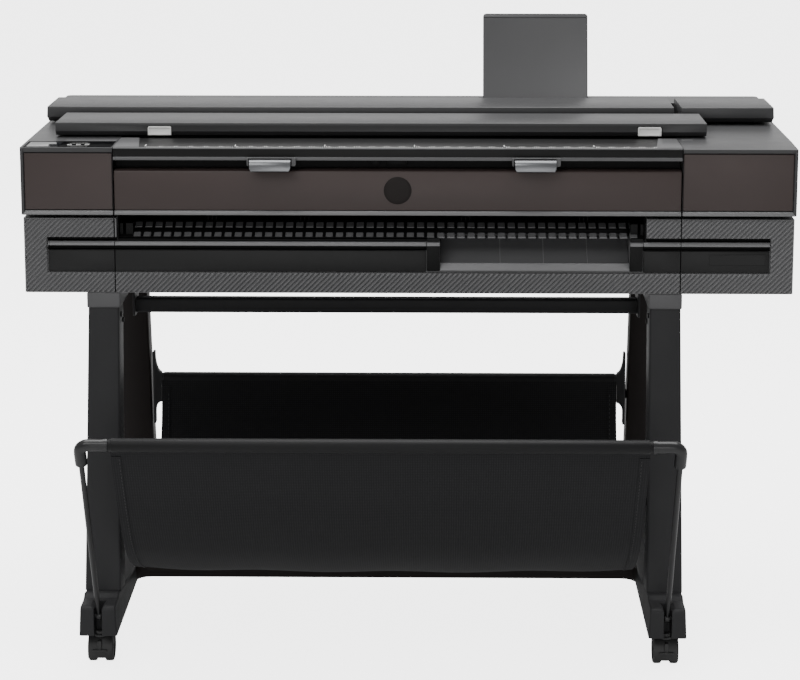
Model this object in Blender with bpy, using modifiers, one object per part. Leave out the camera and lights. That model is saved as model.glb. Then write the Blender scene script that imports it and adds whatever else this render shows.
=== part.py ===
"""Large format plotter on a wheeled stand, with a sheet basket. Metres, +Z up, X across, -Y towards the user.

Depths are counted back from the front face of the body, which stands at Y = FRONT."""

import math

import bmesh
import bpy
from mathutils import Matrix, Vector

# Driving dimensions
FRONT = -0.11345
GAP = 0.0003
WALL = 0.004

BODY_HALF = 0.6585
BASE_HALF = 0.6555
SEAM_LEFT = -0.5005
SEAM_RIGHT = 0.4636
SEAM = 0.0006
BODY_DEPTH = 0.440

BASE_BOTTOM = 0.617
BASE_TOP = 0.7455
UPPER_BOTTOM = 0.751
DECK = 0.867

BAND_HALF = 0.616
BAND_BOTTOM = 0.6515
BAND_TOP = 0.7127
BAND_DEPTH = 0.008
LIP_BOTTOM = 0.6985
LIP_TOP = 0.7055
SLOT_LEFT = -0.497
SLOT_RIGHT = 0.405
POCKET_LEFT = 0.054
POCKET_RIGHT = 0.377
POST = 0.022

PANEL_BOTTOM = 0.759
PANEL_TOP = 0.858
FRONT_PANEL_TOP = 0.828
SCANNER_BOTTOM = 0.8456
SCANNER_DEPTH = 0.270

LID_LEFT = -0.615
LID_RIGHT = 0.516
LID_FRONT = 0.124
LID_REAR = 0.264
LID_BOTTOM = 0.870
LID_TOP = 0.893
LID_PIVOT = (0.262, 0.876)
SCANNER_PIVOT = (0.262, 0.874)

COVER_FRONT = 0.292
COVER_REAR = 0.435
COVER_BOTTOM = 0.8715
COVER_TOP = 0.899
COVER_SPLIT = 0.4815
COVER_PIVOT = (0.430, 0.890)

REAR_FRONT = 0.4415
REAR_DEPTH = 0.548
REAR_BOTTOM = 0.700
REAR_TOP = 0.888
SUPPORT_LEAN = math.radians(15.4)
SUPPORT_LEFT = 0.135
SUPPORT_RIGHT = 0.332
SUPPORT_THICK = 0.005
SUPPORT_FOOT = (0.4895, 0.862)
SUPPORT_LENGTH = 0.190

STAND_CENTRE = -0.0412
LEG_X = 0.4801
LEG_WIDTH_TOP = 0.053
LEG_WIDTH_BOTTOM = 0.061
CAP_WIDTH = 0.057
CAP_BOTTOM = 0.590
FOOT_WIDTH = 0.060
FOOT_FRONT = -0.162
FOOT_REAR = 0.560
FOOT_BOTTOM = 0.058

CASTER_RADIUS = 0.025
CASTER_WIDTH = 0.043
CASTER_TRAIL = 0.014
CASTER_FRONT = -0.131
CASTER_BACK = 0.520

BASKET_HINGE = (-0.146, 0.089)
RAIL = (-0.324, 0.435)
RAIL_RADIUS = 0.0115
REAR_BAR = (0.439, 0.360)
REAR_BAR_RADIUS = 0.0125
CLOTH_HALF = 0.431
CLOTH_THICK = 0.002

RAIL_Y = 0.255
RAIL_Z = 0.790
CARRIAGE_PARK = 0.478
CARRIAGE_WIDTH = 0.100
PULLEY_X = 0.615
PULLEY_Z = 0.814
PULLEY_RADIUS = 0.008
ROLLER_Y = 0.205
SPINDLE = (0.366, 0.800)

INK_LEFT = 0.478
INK_PITCH = 0.042
INK_WIDTH = 0.036

FINISHES = {
    "dark_plastic": ((0.035, 0.035, 0.038), 0.45, 0.0),
    "rib_plastic": ((0.045, 0.045, 0.047), 0.40, 0.0),
    "deck_plastic": ((0.130, 0.130, 0.135), 0.50, 0.0),
    "taupe_panel": ((0.085, 0.070, 0.065), 0.45, 0.0),
    "black_plastic": ((0.008, 0.008, 0.008), 0.50, 0.0),
    "gloss_black": ((0.005, 0.005, 0.006), 0.10, 0.0),
    "grey_latch": ((0.580, 0.580, 0.580), 0.45, 0.0),
    "grey_handle": ((0.300, 0.300, 0.310), 0.35, 0.6),
    "stand_paint": ((0.030, 0.030, 0.031), 0.45, 0.2),
    "cloth": ((0.014, 0.014, 0.015), 0.85, 0.0),
    "steel": ((0.550, 0.550, 0.560), 0.30, 1.0),
    "zinc_sheet": ((0.450, 0.450, 0.440), 0.40, 0.9),
    "belt_rubber": ((0.015, 0.015, 0.015), 0.80, 0.0),
    "roller_rubber": ((0.030, 0.030, 0.030), 0.75, 0.0),
    "tyre": ((0.020, 0.020, 0.020), 0.60, 0.0),
    "glass": ((0.300, 0.320, 0.330), 0.05, 0.0),
    "board_green": ((0.020, 0.120, 0.050), 0.50, 0.0),
}


# Scene and object helpers


def clear_scene():
    for obj in list(bpy.data.objects):
        bpy.data.objects.remove(obj, do_unlink=True)


def new_collection(name, hidden=False):
    collection = bpy.data.collections.new(name)
    bpy.context.scene.collection.children.link(collection)
    collection.hide_render = hidden
    return collection


clear_scene()
PLOTTER = new_collection("large_format_plotter")
CUTTERS = new_collection("cutters", hidden=True)


def paint(obj, finish):
    colour, roughness, metallic = FINISHES[finish]
    material = bpy.data.materials.new(f"{obj.name}_{finish}")
    material.use_nodes = True
    shader = material.node_tree.nodes["Principled BSDF"]
    shader.inputs["Base Color"].default_value = (*colour, 1.0)
    shader.inputs["Roughness"].default_value = roughness
    shader.inputs["Metallic"].default_value = metallic
    obj.data.materials.append(material)


def at(x, depth, z):
    """A point given by its depth behind the body's front face."""
    return Vector((x, FRONT + depth, z))


def place(name, mesh, finish, pivot):
    """Links a mesh made in world coordinates, with its origin moved to the pivot."""
    mesh.transform(Matrix.Translation(-pivot))
    obj = bpy.data.objects.new(name, mesh)
    obj.location = pivot
    if finish is None:
        obj.hide_render = True
        obj.display_type = "WIRE"
        CUTTERS.objects.link(obj)
    else:
        PLOTTER.objects.link(obj)
        paint(obj, finish)
    return obj


def mesh_of(build):
    mesh = bpy.data.meshes.new("shape")
    shape = bmesh.new()
    build(shape)
    shape.to_mesh(mesh)
    shape.free()
    return mesh


def bevelled(obj, width, segments=2, angle=30):
    bevel = obj.modifiers.new("rounded_edges", "BEVEL")
    bevel.width = width
    bevel.segments = segments
    bevel.limit_method = "ANGLE"
    bevel.angle_limit = math.radians(angle)
    return obj


def box(name, finish, x, depth, z, bevel=0.0, pivot=None, segments=2):
    """A block between two x values, two depths and two heights."""
    low = at(x[0], depth[0], z[0])
    high = at(x[1], depth[1], z[1])

    def build(shape):
        bmesh.ops.create_cube(shape, size=1.0)
        bmesh.ops.scale(shape, vec=high - low, verts=shape.verts)
        bmesh.ops.translate(shape, vec=(high + low) / 2, verts=shape.verts)

    obj = place(name, mesh_of(build), finish, pivot or Vector())
    if bevel:
        bevelled(obj, bevel, segments)
    return obj


def along(axis):
    """Turns a shape made along +Z so that it lies along the named axis."""
    turns = {
        "X": Matrix.Rotation(math.pi / 2, 4, "Y"),
        "Y": Matrix.Rotation(-math.pi / 2, 4, "X"),
        "Z": Matrix.Identity(4),
    }
    return turns[axis]


def cylinder(name, finish, centre, radius, length, axis, sides=24, pivot=None):
    def build(shape):
        bmesh.ops.create_cone(
            shape, cap_ends=True, segments=sides, radius1=radius, radius2=radius, depth=length
        )
        bmesh.ops.transform(
            shape, matrix=Matrix.Translation(centre) @ along(axis), verts=shape.verts
        )

    return smooth(place(name, mesh_of(build), finish, pivot or Vector()))


def smooth(obj):
    obj.data.shade_smooth()
    obj.data.set_sharp_from_angle(angle=math.radians(35))
    return obj


def turned(name, finish, centre, profile, axis, steps=24):
    """Screws a profile of (radius, height) pairs, top to bottom, and lays it along an axis."""
    mesh = mesh_of(lambda shape: string_of(shape, [(r, 0, h) for r, h in profile]))
    mesh.transform(along(axis))
    obj = place(name, mesh, finish, Vector())
    obj.location = centre
    screw = obj.modifiers.new("turned", "SCREW")
    screw.axis = axis
    screw.steps = steps
    screw.render_steps = steps
    screw.use_merge_vertices = True
    screw.merge_threshold = 0.00001
    return obj


def string_of(shape, points):
    """A row of vertices joined by edges."""
    row = [shape.verts.new(point) for point in points]
    for first, second in zip(row, row[1:]):
        shape.edges.new((first, second))
    return row


def meshed(obj, finish, pivot):
    """Makes a curve object a mesh with welded caps, and removes the curve."""
    graph = bpy.context.evaluated_depsgraph_get()
    mesh = bpy.data.meshes.new_from_object(obj.evaluated_get(graph))
    mesh.transform(obj.matrix_world)
    shape = bmesh.new()
    shape.from_mesh(mesh)
    bmesh.ops.remove_doubles(shape, verts=shape.verts, dist=0.000002)
    bmesh.ops.recalc_face_normals(shape, faces=shape.faces)
    shape.to_mesh(mesh)
    shape.free()
    name = obj.name
    bpy.data.objects.remove(obj, do_unlink=True)
    mesh.materials.clear()
    return place(name, mesh, finish, pivot or Vector())


def outline(name, finish, loops, plane, span, pivot=None, bevel=0.0):
    """A flat outline, or an outline with holes, extruded across a span.

    The plane "YZ" takes (depth, height) points and a span in X, "XZ" takes (x, height) points and
    a span in depth, and "XY" takes (x, depth) points and a span in height."""
    frames = {
        "YZ": Matrix(((0, 0, 1, 0), (1, 0, 0, FRONT), (0, 1, 0, 0), (0, 0, 0, 1))),
        "XZ": Matrix(((1, 0, 0, 0), (0, 0, -1, FRONT), (0, 1, 0, 0), (0, 0, 0, 1))),
        "XY": Matrix(((1, 0, 0, 0), (0, 1, 0, FRONT), (0, 0, 1, 0), (0, 0, 0, 1))),
    }
    curve = bpy.data.curves.new(name, "CURVE")
    curve.dimensions = "2D"
    curve.fill_mode = "BOTH"
    curve.extrude = (span[1] - span[0]) / 2
    for points in loops:
        spline = curve.splines.new("POLY")
        spline.points.add(len(points) - 1)
        spline.use_cyclic_u = True
        for target, point in zip(spline.points, points):
            target.co = (point[0], point[1], 0, 1)
    obj = bpy.data.objects.new(name, curve)
    middle = (span[0] + span[1]) / 2
    offset = -middle if plane == "XZ" else middle
    obj.matrix_world = frames[plane] @ Matrix.Translation((0, 0, offset))
    PLOTTER.objects.link(obj)
    bpy.context.view_layer.update()
    solid = meshed(obj, finish, pivot)
    if bevel:
        bevelled(solid, bevel)
    return solid


def tube(name, finish, points, radius, pivot=None, radii=None, resolution=3):
    """A round tube along points, whose radius may change from point to point."""
    curve = bpy.data.curves.new(name, "CURVE")
    curve.dimensions = "3D"
    curve.bevel_depth = radius
    curve.bevel_resolution = resolution
    curve.use_fill_caps = True
    spline = curve.splines.new("POLY")
    spline.points.add(len(points) - 1)
    for index, point in enumerate(points):
        spline.points[index].co = (*point, 1)
        spline.points[index].radius = radii[index] / radius if radii else 1.0
    obj = bpy.data.objects.new(name, curve)
    PLOTTER.objects.link(obj)
    bpy.context.view_layer.update()
    return smooth(meshed(obj, finish, pivot))


def boolean(obj, other, operation):
    step = obj.modifiers.new(operation.lower(), "BOOLEAN")
    step.operation = operation
    step.object = other
    step.solver = "EXACT"
    return obj


def cut_box(obj, x, depth, z):
    cutter = box(f"{obj.name}_cutter", None, x, depth, z)
    return boolean(obj, cutter, "DIFFERENCE")


def add_box(obj, x, depth, z, bevel=0.0):
    helper = box(f"{obj.name}_addition", None, x, depth, z, bevel)
    return boolean(obj, helper, "UNION")


def arc(centre, radius, start, end, steps):
    """Points on an arc in a plane, with its angles in degrees."""
    found = []
    for step in range(steps + 1):
        angle = math.radians(start + (end - start) * step / steps)
        found.append((centre[0] + radius * math.cos(angle), centre[1] + radius * math.sin(angle)))
    return found


def sheet(name, finish, profile, x, thickness):
    """A sheet that hangs along a (depth, height) profile and has a wall of the given thickness."""

    def build(shape):
        string_of(shape, [at(x[0], depth, z) for depth, z in profile])
        made = bmesh.ops.extrude_edge_only(shape, edges=shape.edges[:])
        moved = [part for part in made["geom"] if isinstance(part, bmesh.types.BMVert)]
        bmesh.ops.translate(shape, vec=(x[1] - x[0], 0, 0), verts=moved)

    obj = smooth(place(name, mesh_of(build), finish, Vector()))
    wall = obj.modifiers.new("wall", "SOLIDIFY")
    wall.thickness = thickness
    wall.offset = 0.0
    return obj


def sides_of(number):
    """The two sides of the stand, left first."""
    return (("left", STAND_CENTRE - number), ("right", STAND_CENTRE + number))


# Stand


def foot_top(depth):
    """The height of a foot's top face, which falls towards the back."""
    return 0.1165 - (depth + 0.105) * (0.1165 - 0.089) / 0.205 if depth < 0.100 else 0.089


def tapered(obj, centre):
    """Widens a leg towards the floor."""
    top, bottom = CAP_BOTTOM, 0.100
    for vertex in obj.data.vertices:
        share = (top - vertex.co.z) / (top - bottom)
        width = LEG_WIDTH_TOP + (LEG_WIDTH_BOTTOM - LEG_WIDTH_TOP) * min(max(share, 0), 1)
        vertex.co.x = centre + (vertex.co.x - centre) * width / LEG_WIDTH_TOP
    return obj


def build_legs():
    half = LEG_WIDTH_TOP / 2
    overlap = 0.004
    for side, x in sides_of(LEG_X):
        front = [
            (0.000, CAP_BOTTOM + overlap),
            (0.062, CAP_BOTTOM + overlap),
            (-0.026, foot_top(-0.026) + GAP),
            (-0.090, foot_top(-0.090) + GAP),
        ]
        rear = [
            (0.395, CAP_BOTTOM + overlap),
            (0.445, CAP_BOTTOM + overlap),
            (0.520, foot_top(0.520) + GAP),
            (0.470, foot_top(0.470) + GAP),
        ]
        leg = box(
            f"leg_{side}",
            "stand_paint",
            (x - CAP_WIDTH / 2, x + CAP_WIDTH / 2),
            (0.0, 0.450),
            (CAP_BOTTOM, BASE_BOTTOM - GAP),
        )
        for name, points in (("front", front), ("rear", rear)):
            strut = outline(f"leg_{side}_{name}", None, [points], "YZ", (x - half, x + half))
            boolean(leg, tapered(strut, x), "UNION")


def build_feet():
    for side, x in sides_of(LEG_X):
        points = [
            (FOOT_FRONT, FOOT_BOTTOM),
            (FOOT_REAR, FOOT_BOTTOM),
            (FOOT_REAR, 0.080),
            (0.540, foot_top(0.540)),
            (0.100, foot_top(0.100)),
            (-0.105, foot_top(-0.105)),
            (-0.118, 0.110),
            (-0.157, 0.110),
            (FOOT_FRONT, 0.105),
        ]
        foot = outline(
            f"foot_{side}",
            "stand_paint",
            [points],
            "YZ",
            (x - FOOT_WIDTH / 2, x + FOOT_WIDTH / 2),
        )
        cut_box(foot, (x - 0.0068, x + 0.0068), (FOOT_FRONT - 0.01, -0.128), (0.0745, 0.130))


def build_beams():
    left = STAND_CENTRE - LEG_X
    right = STAND_CENTRE + LEG_X
    ends = (left + CAP_WIDTH / 2 + GAP, right - CAP_WIDTH / 2 - GAP)
    beam = box("upper_beam", "stand_paint", ends, (0.186, 0.214), (0.542, 0.568))
    for inner, outer in ((ends[0], ends[0] + WALL), (ends[1], ends[1] - WALL)):
        add_box(beam, sorted((inner, outer)), (0.170, 0.230), (0.538, 0.612))

    start = left + FOOT_WIDTH / 2 + GAP
    end = right - FOOT_WIDTH / 2 - GAP
    front, rear, flare = 0.150, 0.184, 0.026
    points = arc((start + flare, front - flare), flare, 180, 90, 6)
    points += arc((end - flare, front - flare), flare, 90, 0, 6)
    points += arc((end - flare, rear + flare), flare, 0, -90, 6)
    points += arc((start + flare, rear + flare), flare, -90, -180, 6)
    outline("lower_beam", "stand_paint", [points], "XY", (0.060, 0.088))


def build_basket():
    left, right = STAND_CENTRE - CLOTH_HALF, STAND_CENTRE + CLOTH_HALF
    depth, height = RAIL
    hinge = at(0, *BASKET_HINGE)
    end = 0.0045
    bar = (left - end, right + end)
    tube(
        "basket_rail",
        "cloth",
        [at(bar[0], depth, height), at(bar[1], depth, height)],
        RAIL_RADIUS,
        pivot=hinge,
    )
    for side, sign in (("left", -1), ("right", 1)):
        x_in = STAND_CENTRE + sign * (CLOTH_HALF + end + GAP)
        x_out = STAND_CENTRE + sign * LEG_X
        drop = Vector((0, BASKET_HINGE[0] - depth, BASKET_HINGE[1] - height)).normalized()
        corner = at(x_out, depth, height)
        bend = 0.022
        points = [at(x_in, depth, height)]
        radii = [0.0100]
        for step in range(7):
            angle = math.radians(90 * step / 6)
            inward = bend * (1 - math.sin(angle))
            down = bend * (1 - math.cos(angle))
            points.append(corner + Vector((-sign * inward, 0, 0)) + drop * down)
            radii.append(0.0092)
        points += [corner + drop * 0.034, corner + drop * 0.037]
        radii += [0.0092, 0.0045]
        points.append(at(x_out, *BASKET_HINGE) + drop * 0.004)
        radii.append(0.0045)
        tube(f"basket_arm_{side}", "stand_paint", points, 0.0092, hinge, radii, 2)

    frame = tube(
        "basket_rear_frame",
        "stand_paint",
        [at(left - 0.002, *REAR_BAR), at(right + 0.002, *REAR_BAR)],
        REAR_BAR_RADIUS,
    )
    for sign in (-1, 1):
        tip = STAND_CENTRE + sign * (CLOTH_HALF + 0.001)
        base = STAND_CENTRE + sign * (LEG_X - LEG_WIDTH_TOP / 2 - 0.0055)
        low, high, wing_low, wing_high = 0.274, 0.415, 0.322, 0.373
        radius = abs(tip - base)
        points = [(base, low), (base, high)]
        points += arc((tip, high), radius, 180 if sign < 0 else 0, 270 if sign < 0 else -90, 5)[1:]
        points += [(tip, wing_high), (tip, wing_low)]
        points += arc((tip, low), radius, 90, 180 if sign < 0 else 0, 5)[:-1]
        bracket = outline(f"bracket_{sign}", None, [points], "XZ", (0.432, 0.450))
        boolean(frame, bracket, "UNION")


CLOTH_FRONT = [
    (-0.322, 0.4195),
    (-0.290, 0.373),
    (-0.260, 0.332),
    (-0.218, 0.270),
    (-0.190, 0.238),
    (-0.163, 0.212),
]
CLOTH_REAR = [
    (-0.100, 0.168),
    (-0.064, 0.149),
    (-0.028, 0.134),
    (0.025, 0.120),
    (0.080, 0.115),
    (0.140, 0.120),
    (0.200, 0.133),
    (0.250, 0.150),
    (0.310, 0.182),
    (0.360, 0.217),
    (0.400, 0.262),
    (0.426, 0.344),
]


def build_cloth():
    span = (STAND_CENTRE - CLOTH_HALF, STAND_CENTRE + CLOTH_HALF)
    sheet("basket_cloth_front", "cloth", CLOTH_FRONT, span, CLOTH_THICK)
    sheet("basket_cloth_rear", "cloth", CLOTH_REAR, span, CLOTH_THICK)


def build_casters():
    for row, stem in (("front", CASTER_FRONT), ("rear", CASTER_BACK)):
        for side, x in sides_of(LEG_X):
            centre = at(x, stem + CASTER_TRAIL, CASTER_RADIUS)
            half = CASTER_WIDTH / 2
            shoulder = CASTER_RADIUS - 0.002
            profile = [(0, half), (shoulder, half), (CASTER_RADIUS, half - 0.002)]
            profile += [(CASTER_RADIUS, 0.009), (shoulder, 0.007), (0.004, 0.007)]
            profile += [(radius, -height) for radius, height in reversed(profile)]
            turned(f"caster_wheels_{row}_{side}", "tyre", centre, profile, "X", 20)
            fork = cylinder(
                f"caster_fork_{row}_{side}",
                "black_plastic",
                centre,
                0.0290,
                CASTER_WIDTH - 0.002,
                "X",
                pivot=at(x, stem, FOOT_BOTTOM),
            )
            cut_box(fork, (x - 0.1, x + 0.1), (stem - 0.1, stem + 0.1), (-0.1, centre.z + 0.006))
            for sign in (-1, 1):
                room = cylinder(
                    f"{fork.name}_room_{sign}",
                    None,
                    centre + Vector((sign * (0.006 + 0.020), 0, 0)),
                    CASTER_RADIUS + 0.0015,
                    0.040,
                    "X",
                )
                boolean(fork, room, "DIFFERENCE")
            web = cylinder(f"{fork.name}_web", None, centre, 0.012, 0.011, "X", 16)
            boolean(fork, web, "UNION")
            add_box(fork, (x - 0.0055, x + 0.0055), (stem + 0.004, stem + 0.024), (0.025, 0.052))
            stalk = cylinder(f"{fork.name}_stem", None, at(x, stem, 0.0515), 0.007, 0.012, "Z", 16)
            boolean(fork, stalk, "UNION")
            bore = cylinder(f"{fork.name}_bore", None, centre, 0.0046, 0.030, "X", 16)
            boolean(fork, bore, "DIFFERENCE")


# Lower box


def build_base():
    spans = {
        "left": (-BASE_HALF, SEAM_LEFT - SEAM / 2),
        "centre": (SEAM_LEFT + SEAM / 2, SEAM_RIGHT - SEAM / 2),
        "right": (SEAM_RIGHT + SEAM / 2, BASE_HALF),
    }
    inner = (0.012, BODY_DEPTH - WALL)
    for side, span in spans.items():
        cover = box(
            f"base_{side}", "rib_plastic", span, (0, BODY_DEPTH), (BASE_BOTTOM, BASE_TOP), 0.002
        )
        if side == "left":
            cut_box(cover, (span[0] + WALL, span[1] + 0.01), inner, (0.621, BASE_TOP - WALL))
        elif side == "right":
            cut_box(cover, (span[0] - 0.01, span[1] - WALL), inner, (0.621, BASE_TOP - WALL))
        else:
            inside = (span[0] + WALL, span[1] - WALL)
            cut_box(cover, inside, (0.100, BODY_DEPTH - WALL), (0.621, 0.760))
            cut_box(cover, (SLOT_LEFT, SLOT_RIGHT), (-0.01, 0.096), (LIP_TOP + GAP, 0.760))
            cut_box(cover, (POCKET_LEFT, POCKET_RIGHT), (-0.01, 0.080), (0.655, 0.710))
            cut_box(cover, inside, (0.006, 0.094), (0.600, 0.648))
        band = (max(span[0] - 0.01, -BAND_HALF), min(span[1] + 0.01, BAND_HALF))
        cut_box(cover, band, (-0.01, BAND_DEPTH), (BAND_BOTTOM, BAND_TOP))


def build_output():
    near, back = 0.0010, BAND_DEPTH - GAP
    left, right = POCKET_LEFT, POCKET_RIGHT
    lip = (LIP_BOTTOM, LIP_TOP)
    trim = box("output_trim", "dark_plastic", (-BAND_HALF + 0.001, left - POST), (near, back), lip)
    add_box(trim, (left - POST - 0.001, left - GAP), (near, back), (0.655, BAND_TOP - 0.001))
    add_box(trim, (right + GAP, right + POST + 0.001), (near, back), (0.655, BAND_TOP - 0.001))
    add_box(trim, (left - 0.001, right + 0.001), (near, back), (0.6555, 0.668))
    add_box(trim, (left + GAP, right - GAP), (near + 0.001, 0.0795), (0.6555, 0.6615))
    add_box(trim, (right + POST, BAND_HALF - 0.001), (near, back), lip)
    ramp = [(0.0085, 0.7065), (0.0950, 0.7065), (0.0950, 0.7410), (0.0850, 0.7410), (0.0085, 0.7090)]
    ramp_span = (SLOT_LEFT + GAP, SLOT_RIGHT - GAP)
    ramp_solid = outline("output_ramp", "black_plastic", [ramp], "YZ", ramp_span)
    cut_box(ramp_solid, (left - 0.002, right + 0.002), (0, 0.0835), (0.700, 0.722))


# Upper box


def build_upper():
    left = box(
        "upper_left",
        "dark_plastic",
        (-BODY_HALF, SEAM_LEFT - SEAM / 2),
        (0, BODY_DEPTH),
        (UPPER_BOTTOM, DECK),
        0.004,
    )
    inner = (0.012, BODY_DEPTH - WALL)
    height = (UPPER_BOTTOM + WALL, 0.857)
    cut_box(left, (-BODY_HALF + WALL, SEAM_LEFT + 0.01), inner, height)
    cut_box(left, (-0.652, SEAM_LEFT - 0.001), (-0.01, 0.003), (PANEL_BOTTOM, PANEL_TOP))
    cut_box(left, (-0.653, -0.503), (0.0035, 0.0745), (0.8611, 0.880))

    right = box(
        "upper_right",
        "dark_plastic",
        (SEAM_RIGHT + SEAM / 2, BODY_HALF),
        (0, BODY_DEPTH),
        (UPPER_BOTTOM, DECK),
        0.004,
    )
    cut_box(right, (SEAM_RIGHT - 0.01, BODY_HALF - WALL), (0.169, inner[1]), height)
    cut_box(right, (0.472, 0.646), (-0.01, 0.165), (0.763, 0.8535))
    cut_box(right, (SEAM_RIGHT + 0.0015, 0.6485), (-0.01, 0.0035), (PANEL_BOTTOM, PANEL_TOP))

    box(
        "left_front_panel",
        "taupe_panel",
        (-0.6517, SEAM_LEFT - 0.0013),
        (0.0005, 0.003 - GAP),
        (PANEL_BOTTOM + GAP, PANEL_TOP - GAP),
    )
    box(
        "ink_door",
        "taupe_panel",
        (SEAM_RIGHT + 0.0018, 0.6482),
        (0.0003, 0.0030),
        (PANEL_BOTTOM + 0.0006, PANEL_TOP - 0.0006),
        pivot=at(0.556, 0.0003, PANEL_BOTTOM + 0.0006),
    )
    section = [
        (0.0000, UPPER_BOTTOM),
        (0.0000, FRONT_PANEL_TOP),
        (0.0360, FRONT_PANEL_TOP),
        (0.0360, 0.8445),
        (0.0400, 0.8445),
        (0.0400, 0.8220),
        (0.0060, 0.8220),
        (0.0060, 0.7570),
        (0.0300, 0.7570),
        (0.0300, UPPER_BOTTOM),
    ]
    span = (SEAM_LEFT + SEAM / 2, SEAM_RIGHT - SEAM / 2)
    outline("front_panel", "taupe_panel", [section], "YZ", span)

    panel = box("touch_panel", "gloss_black", (-0.6525, -0.5035), (0.0040, 0.0740), (0.8615, 0.8668))
    button = at(-0.5150, 0.0600, 0.0)
    well = cylinder("button_well", None, button + Vector((0, 0, 0.8740)), 0.0062, 0.0200, "Z", 20)
    boolean(panel, well, "DIFFERENCE")
    middle = button + Vector((0, 0, 0.8664))
    cylinder("power_button", "gloss_black", middle, 0.0057, 0.0026, "Z", 20, pivot=middle)


def build_scanner():
    span = (SEAM_LEFT + SEAM / 2, SEAM_RIGHT - SEAM / 2)
    pivot = at(0, *SCANNER_PIVOT)
    base = box(
        "scanner_base", "black_plastic", span, (0, SCANNER_DEPTH), (SCANNER_BOTTOM, DECK), 0.001, pivot
    )
    cut_box(base, (span[0] + WALL, span[1] - WALL), (0.050, 0.262), (0.840, 0.8600))
    cut_box(base, (-0.452, 0.422), (0.168, 0.228), (0.8645, 0.880))
    box("scanner_glass", "glass", (-0.4517, 0.4217), (0.1683, 0.2277), (0.8648, 0.8668), 0, pivot)

    lid_pivot = at(0, *LID_PIVOT)
    section = [
        (LID_FRONT, LID_BOTTOM),
        (LID_REAR, LID_BOTTOM),
        (LID_REAR, LID_TOP - 0.004),
        (LID_REAR - 0.004, LID_TOP),
        (LID_FRONT + 0.003, LID_TOP),
        (LID_FRONT, LID_TOP - 0.003),
    ]
    lid = outline("scanner_lid", "dark_plastic", [section], "YZ", (LID_LEFT, LID_RIGHT), lid_pivot)
    cut_box(lid, (LID_LEFT + 0.003, LID_RIGHT - 0.003), (0.138, 0.258), (0.860, LID_TOP - 0.003))
    for side, x in (("left", (-0.454, -0.4135)), ("right", (0.397, 0.438))):
        cut_box(lid, (x[0] - 0.001, x[1] + 0.001), (0.110, 0.1320), (0.860, 0.887))
        middle = (x[0] + x[1]) / 2
        tab_pivot = at(middle, 0.1225, 0.8785)
        box(f"lid_latch_{side}", "grey_latch", x, (0.1225, 0.1270), (0.8712, 0.8860), 0.001, tab_pivot)

    for side, x in (("left", (-0.273, -0.190)), ("right", (0.1755, 0.2573))):
        handle = [
            (-0.0005, 0.8510),
            (-0.0140, 0.8510),
            (-0.0180, 0.8470),
            (-0.0180, 0.8375),
            (-0.0135, 0.8330),
            (-0.0115, 0.8345),
            (-0.0150, 0.8390),
            (-0.0150, 0.8455),
            (-0.0130, 0.8475),
            (-0.0005, 0.8475),
        ]
        handle_pivot = at((x[0] + x[1]) / 2, -0.0012, 0.8492)
        outline(f"scanner_handle_{side}", "grey_handle", [handle], "YZ", x, handle_pivot)


def build_covers():
    pivot = at(0, *COVER_PIVOT)
    spans = {"roll_cover": (-0.656, COVER_SPLIT - 0.0055), "service_cover": (COVER_SPLIT + 0.0055, 0.655)}
    for name, span in spans.items():
        section = [
            (COVER_FRONT + 0.004, COVER_BOTTOM),
            (COVER_REAR, COVER_BOTTOM),
            (COVER_REAR, COVER_TOP - 0.004),
            (COVER_REAR - 0.004, COVER_TOP),
            (COVER_FRONT + 0.003, COVER_TOP),
            (COVER_FRONT, COVER_TOP - 0.003),
            (COVER_FRONT, COVER_BOTTOM + 0.004),
        ]
        cover = outline(name, "deck_plastic", [section], "YZ", span, pivot)
        cut_box(cover, (span[0] + WALL, span[1] - WALL), (0.302, 0.424), (0.870, COVER_TOP - WALL))


def build_rear():
    housing = box(
        "rear_housing",
        "dark_plastic",
        (-0.655, 0.655),
        (REAR_FRONT, REAR_DEPTH),
        (REAR_BOTTOM, REAR_TOP),
        0.003,
    )
    inside = (REAR_FRONT + WALL, REAR_DEPTH - WALL)
    cut_box(housing, (-0.651, 0.651), inside, (REAR_BOTTOM - 0.01, REAR_TOP - WALL))
    mouth = (SUPPORT_LEFT - 0.004, SUPPORT_RIGHT + 0.004)
    cut_box(housing, mouth, (0.4680, 0.5060), (REAR_TOP - 0.01, REAR_TOP + 0.01))

    run = Vector((math.sin(SUPPORT_LEAN), math.cos(SUPPORT_LEAN)))
    across = Vector((run.y, -run.x))
    foot = Vector(SUPPORT_FOOT)
    head = foot + run * SUPPORT_LENGTH
    points = [foot, foot + across * SUPPORT_THICK, head + across * SUPPORT_THICK, head]
    span = (SUPPORT_LEFT, SUPPORT_RIGHT)
    outline("sheet_support", "deck_plastic", [points], "YZ", span, at(0.2335, *SUPPORT_FOOT))

    box("main_board", "board_green", (-0.450, -0.100), (0.5300, 0.5320), (0.720, 0.850))
    inlet = box("power_inlet", "black_plastic", (0.530, 0.600), (0.5483, 0.5530), (0.722, 0.752))
    cut_box(inlet, (0.576, 0.594), (0.5492, 0.5600), (0.7262, 0.7488))
    cut_box(inlet, (0.536, 0.566), (0.5500, 0.5600), (0.7280, 0.7470))
    rocker = at(0.585, 0.5532, 0.7375)
    box("power_switch", "gloss_black", (0.5765, 0.5935), (0.5517, 0.5547), (0.7275, 0.7475), 0, rocker)


# Inside


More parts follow.
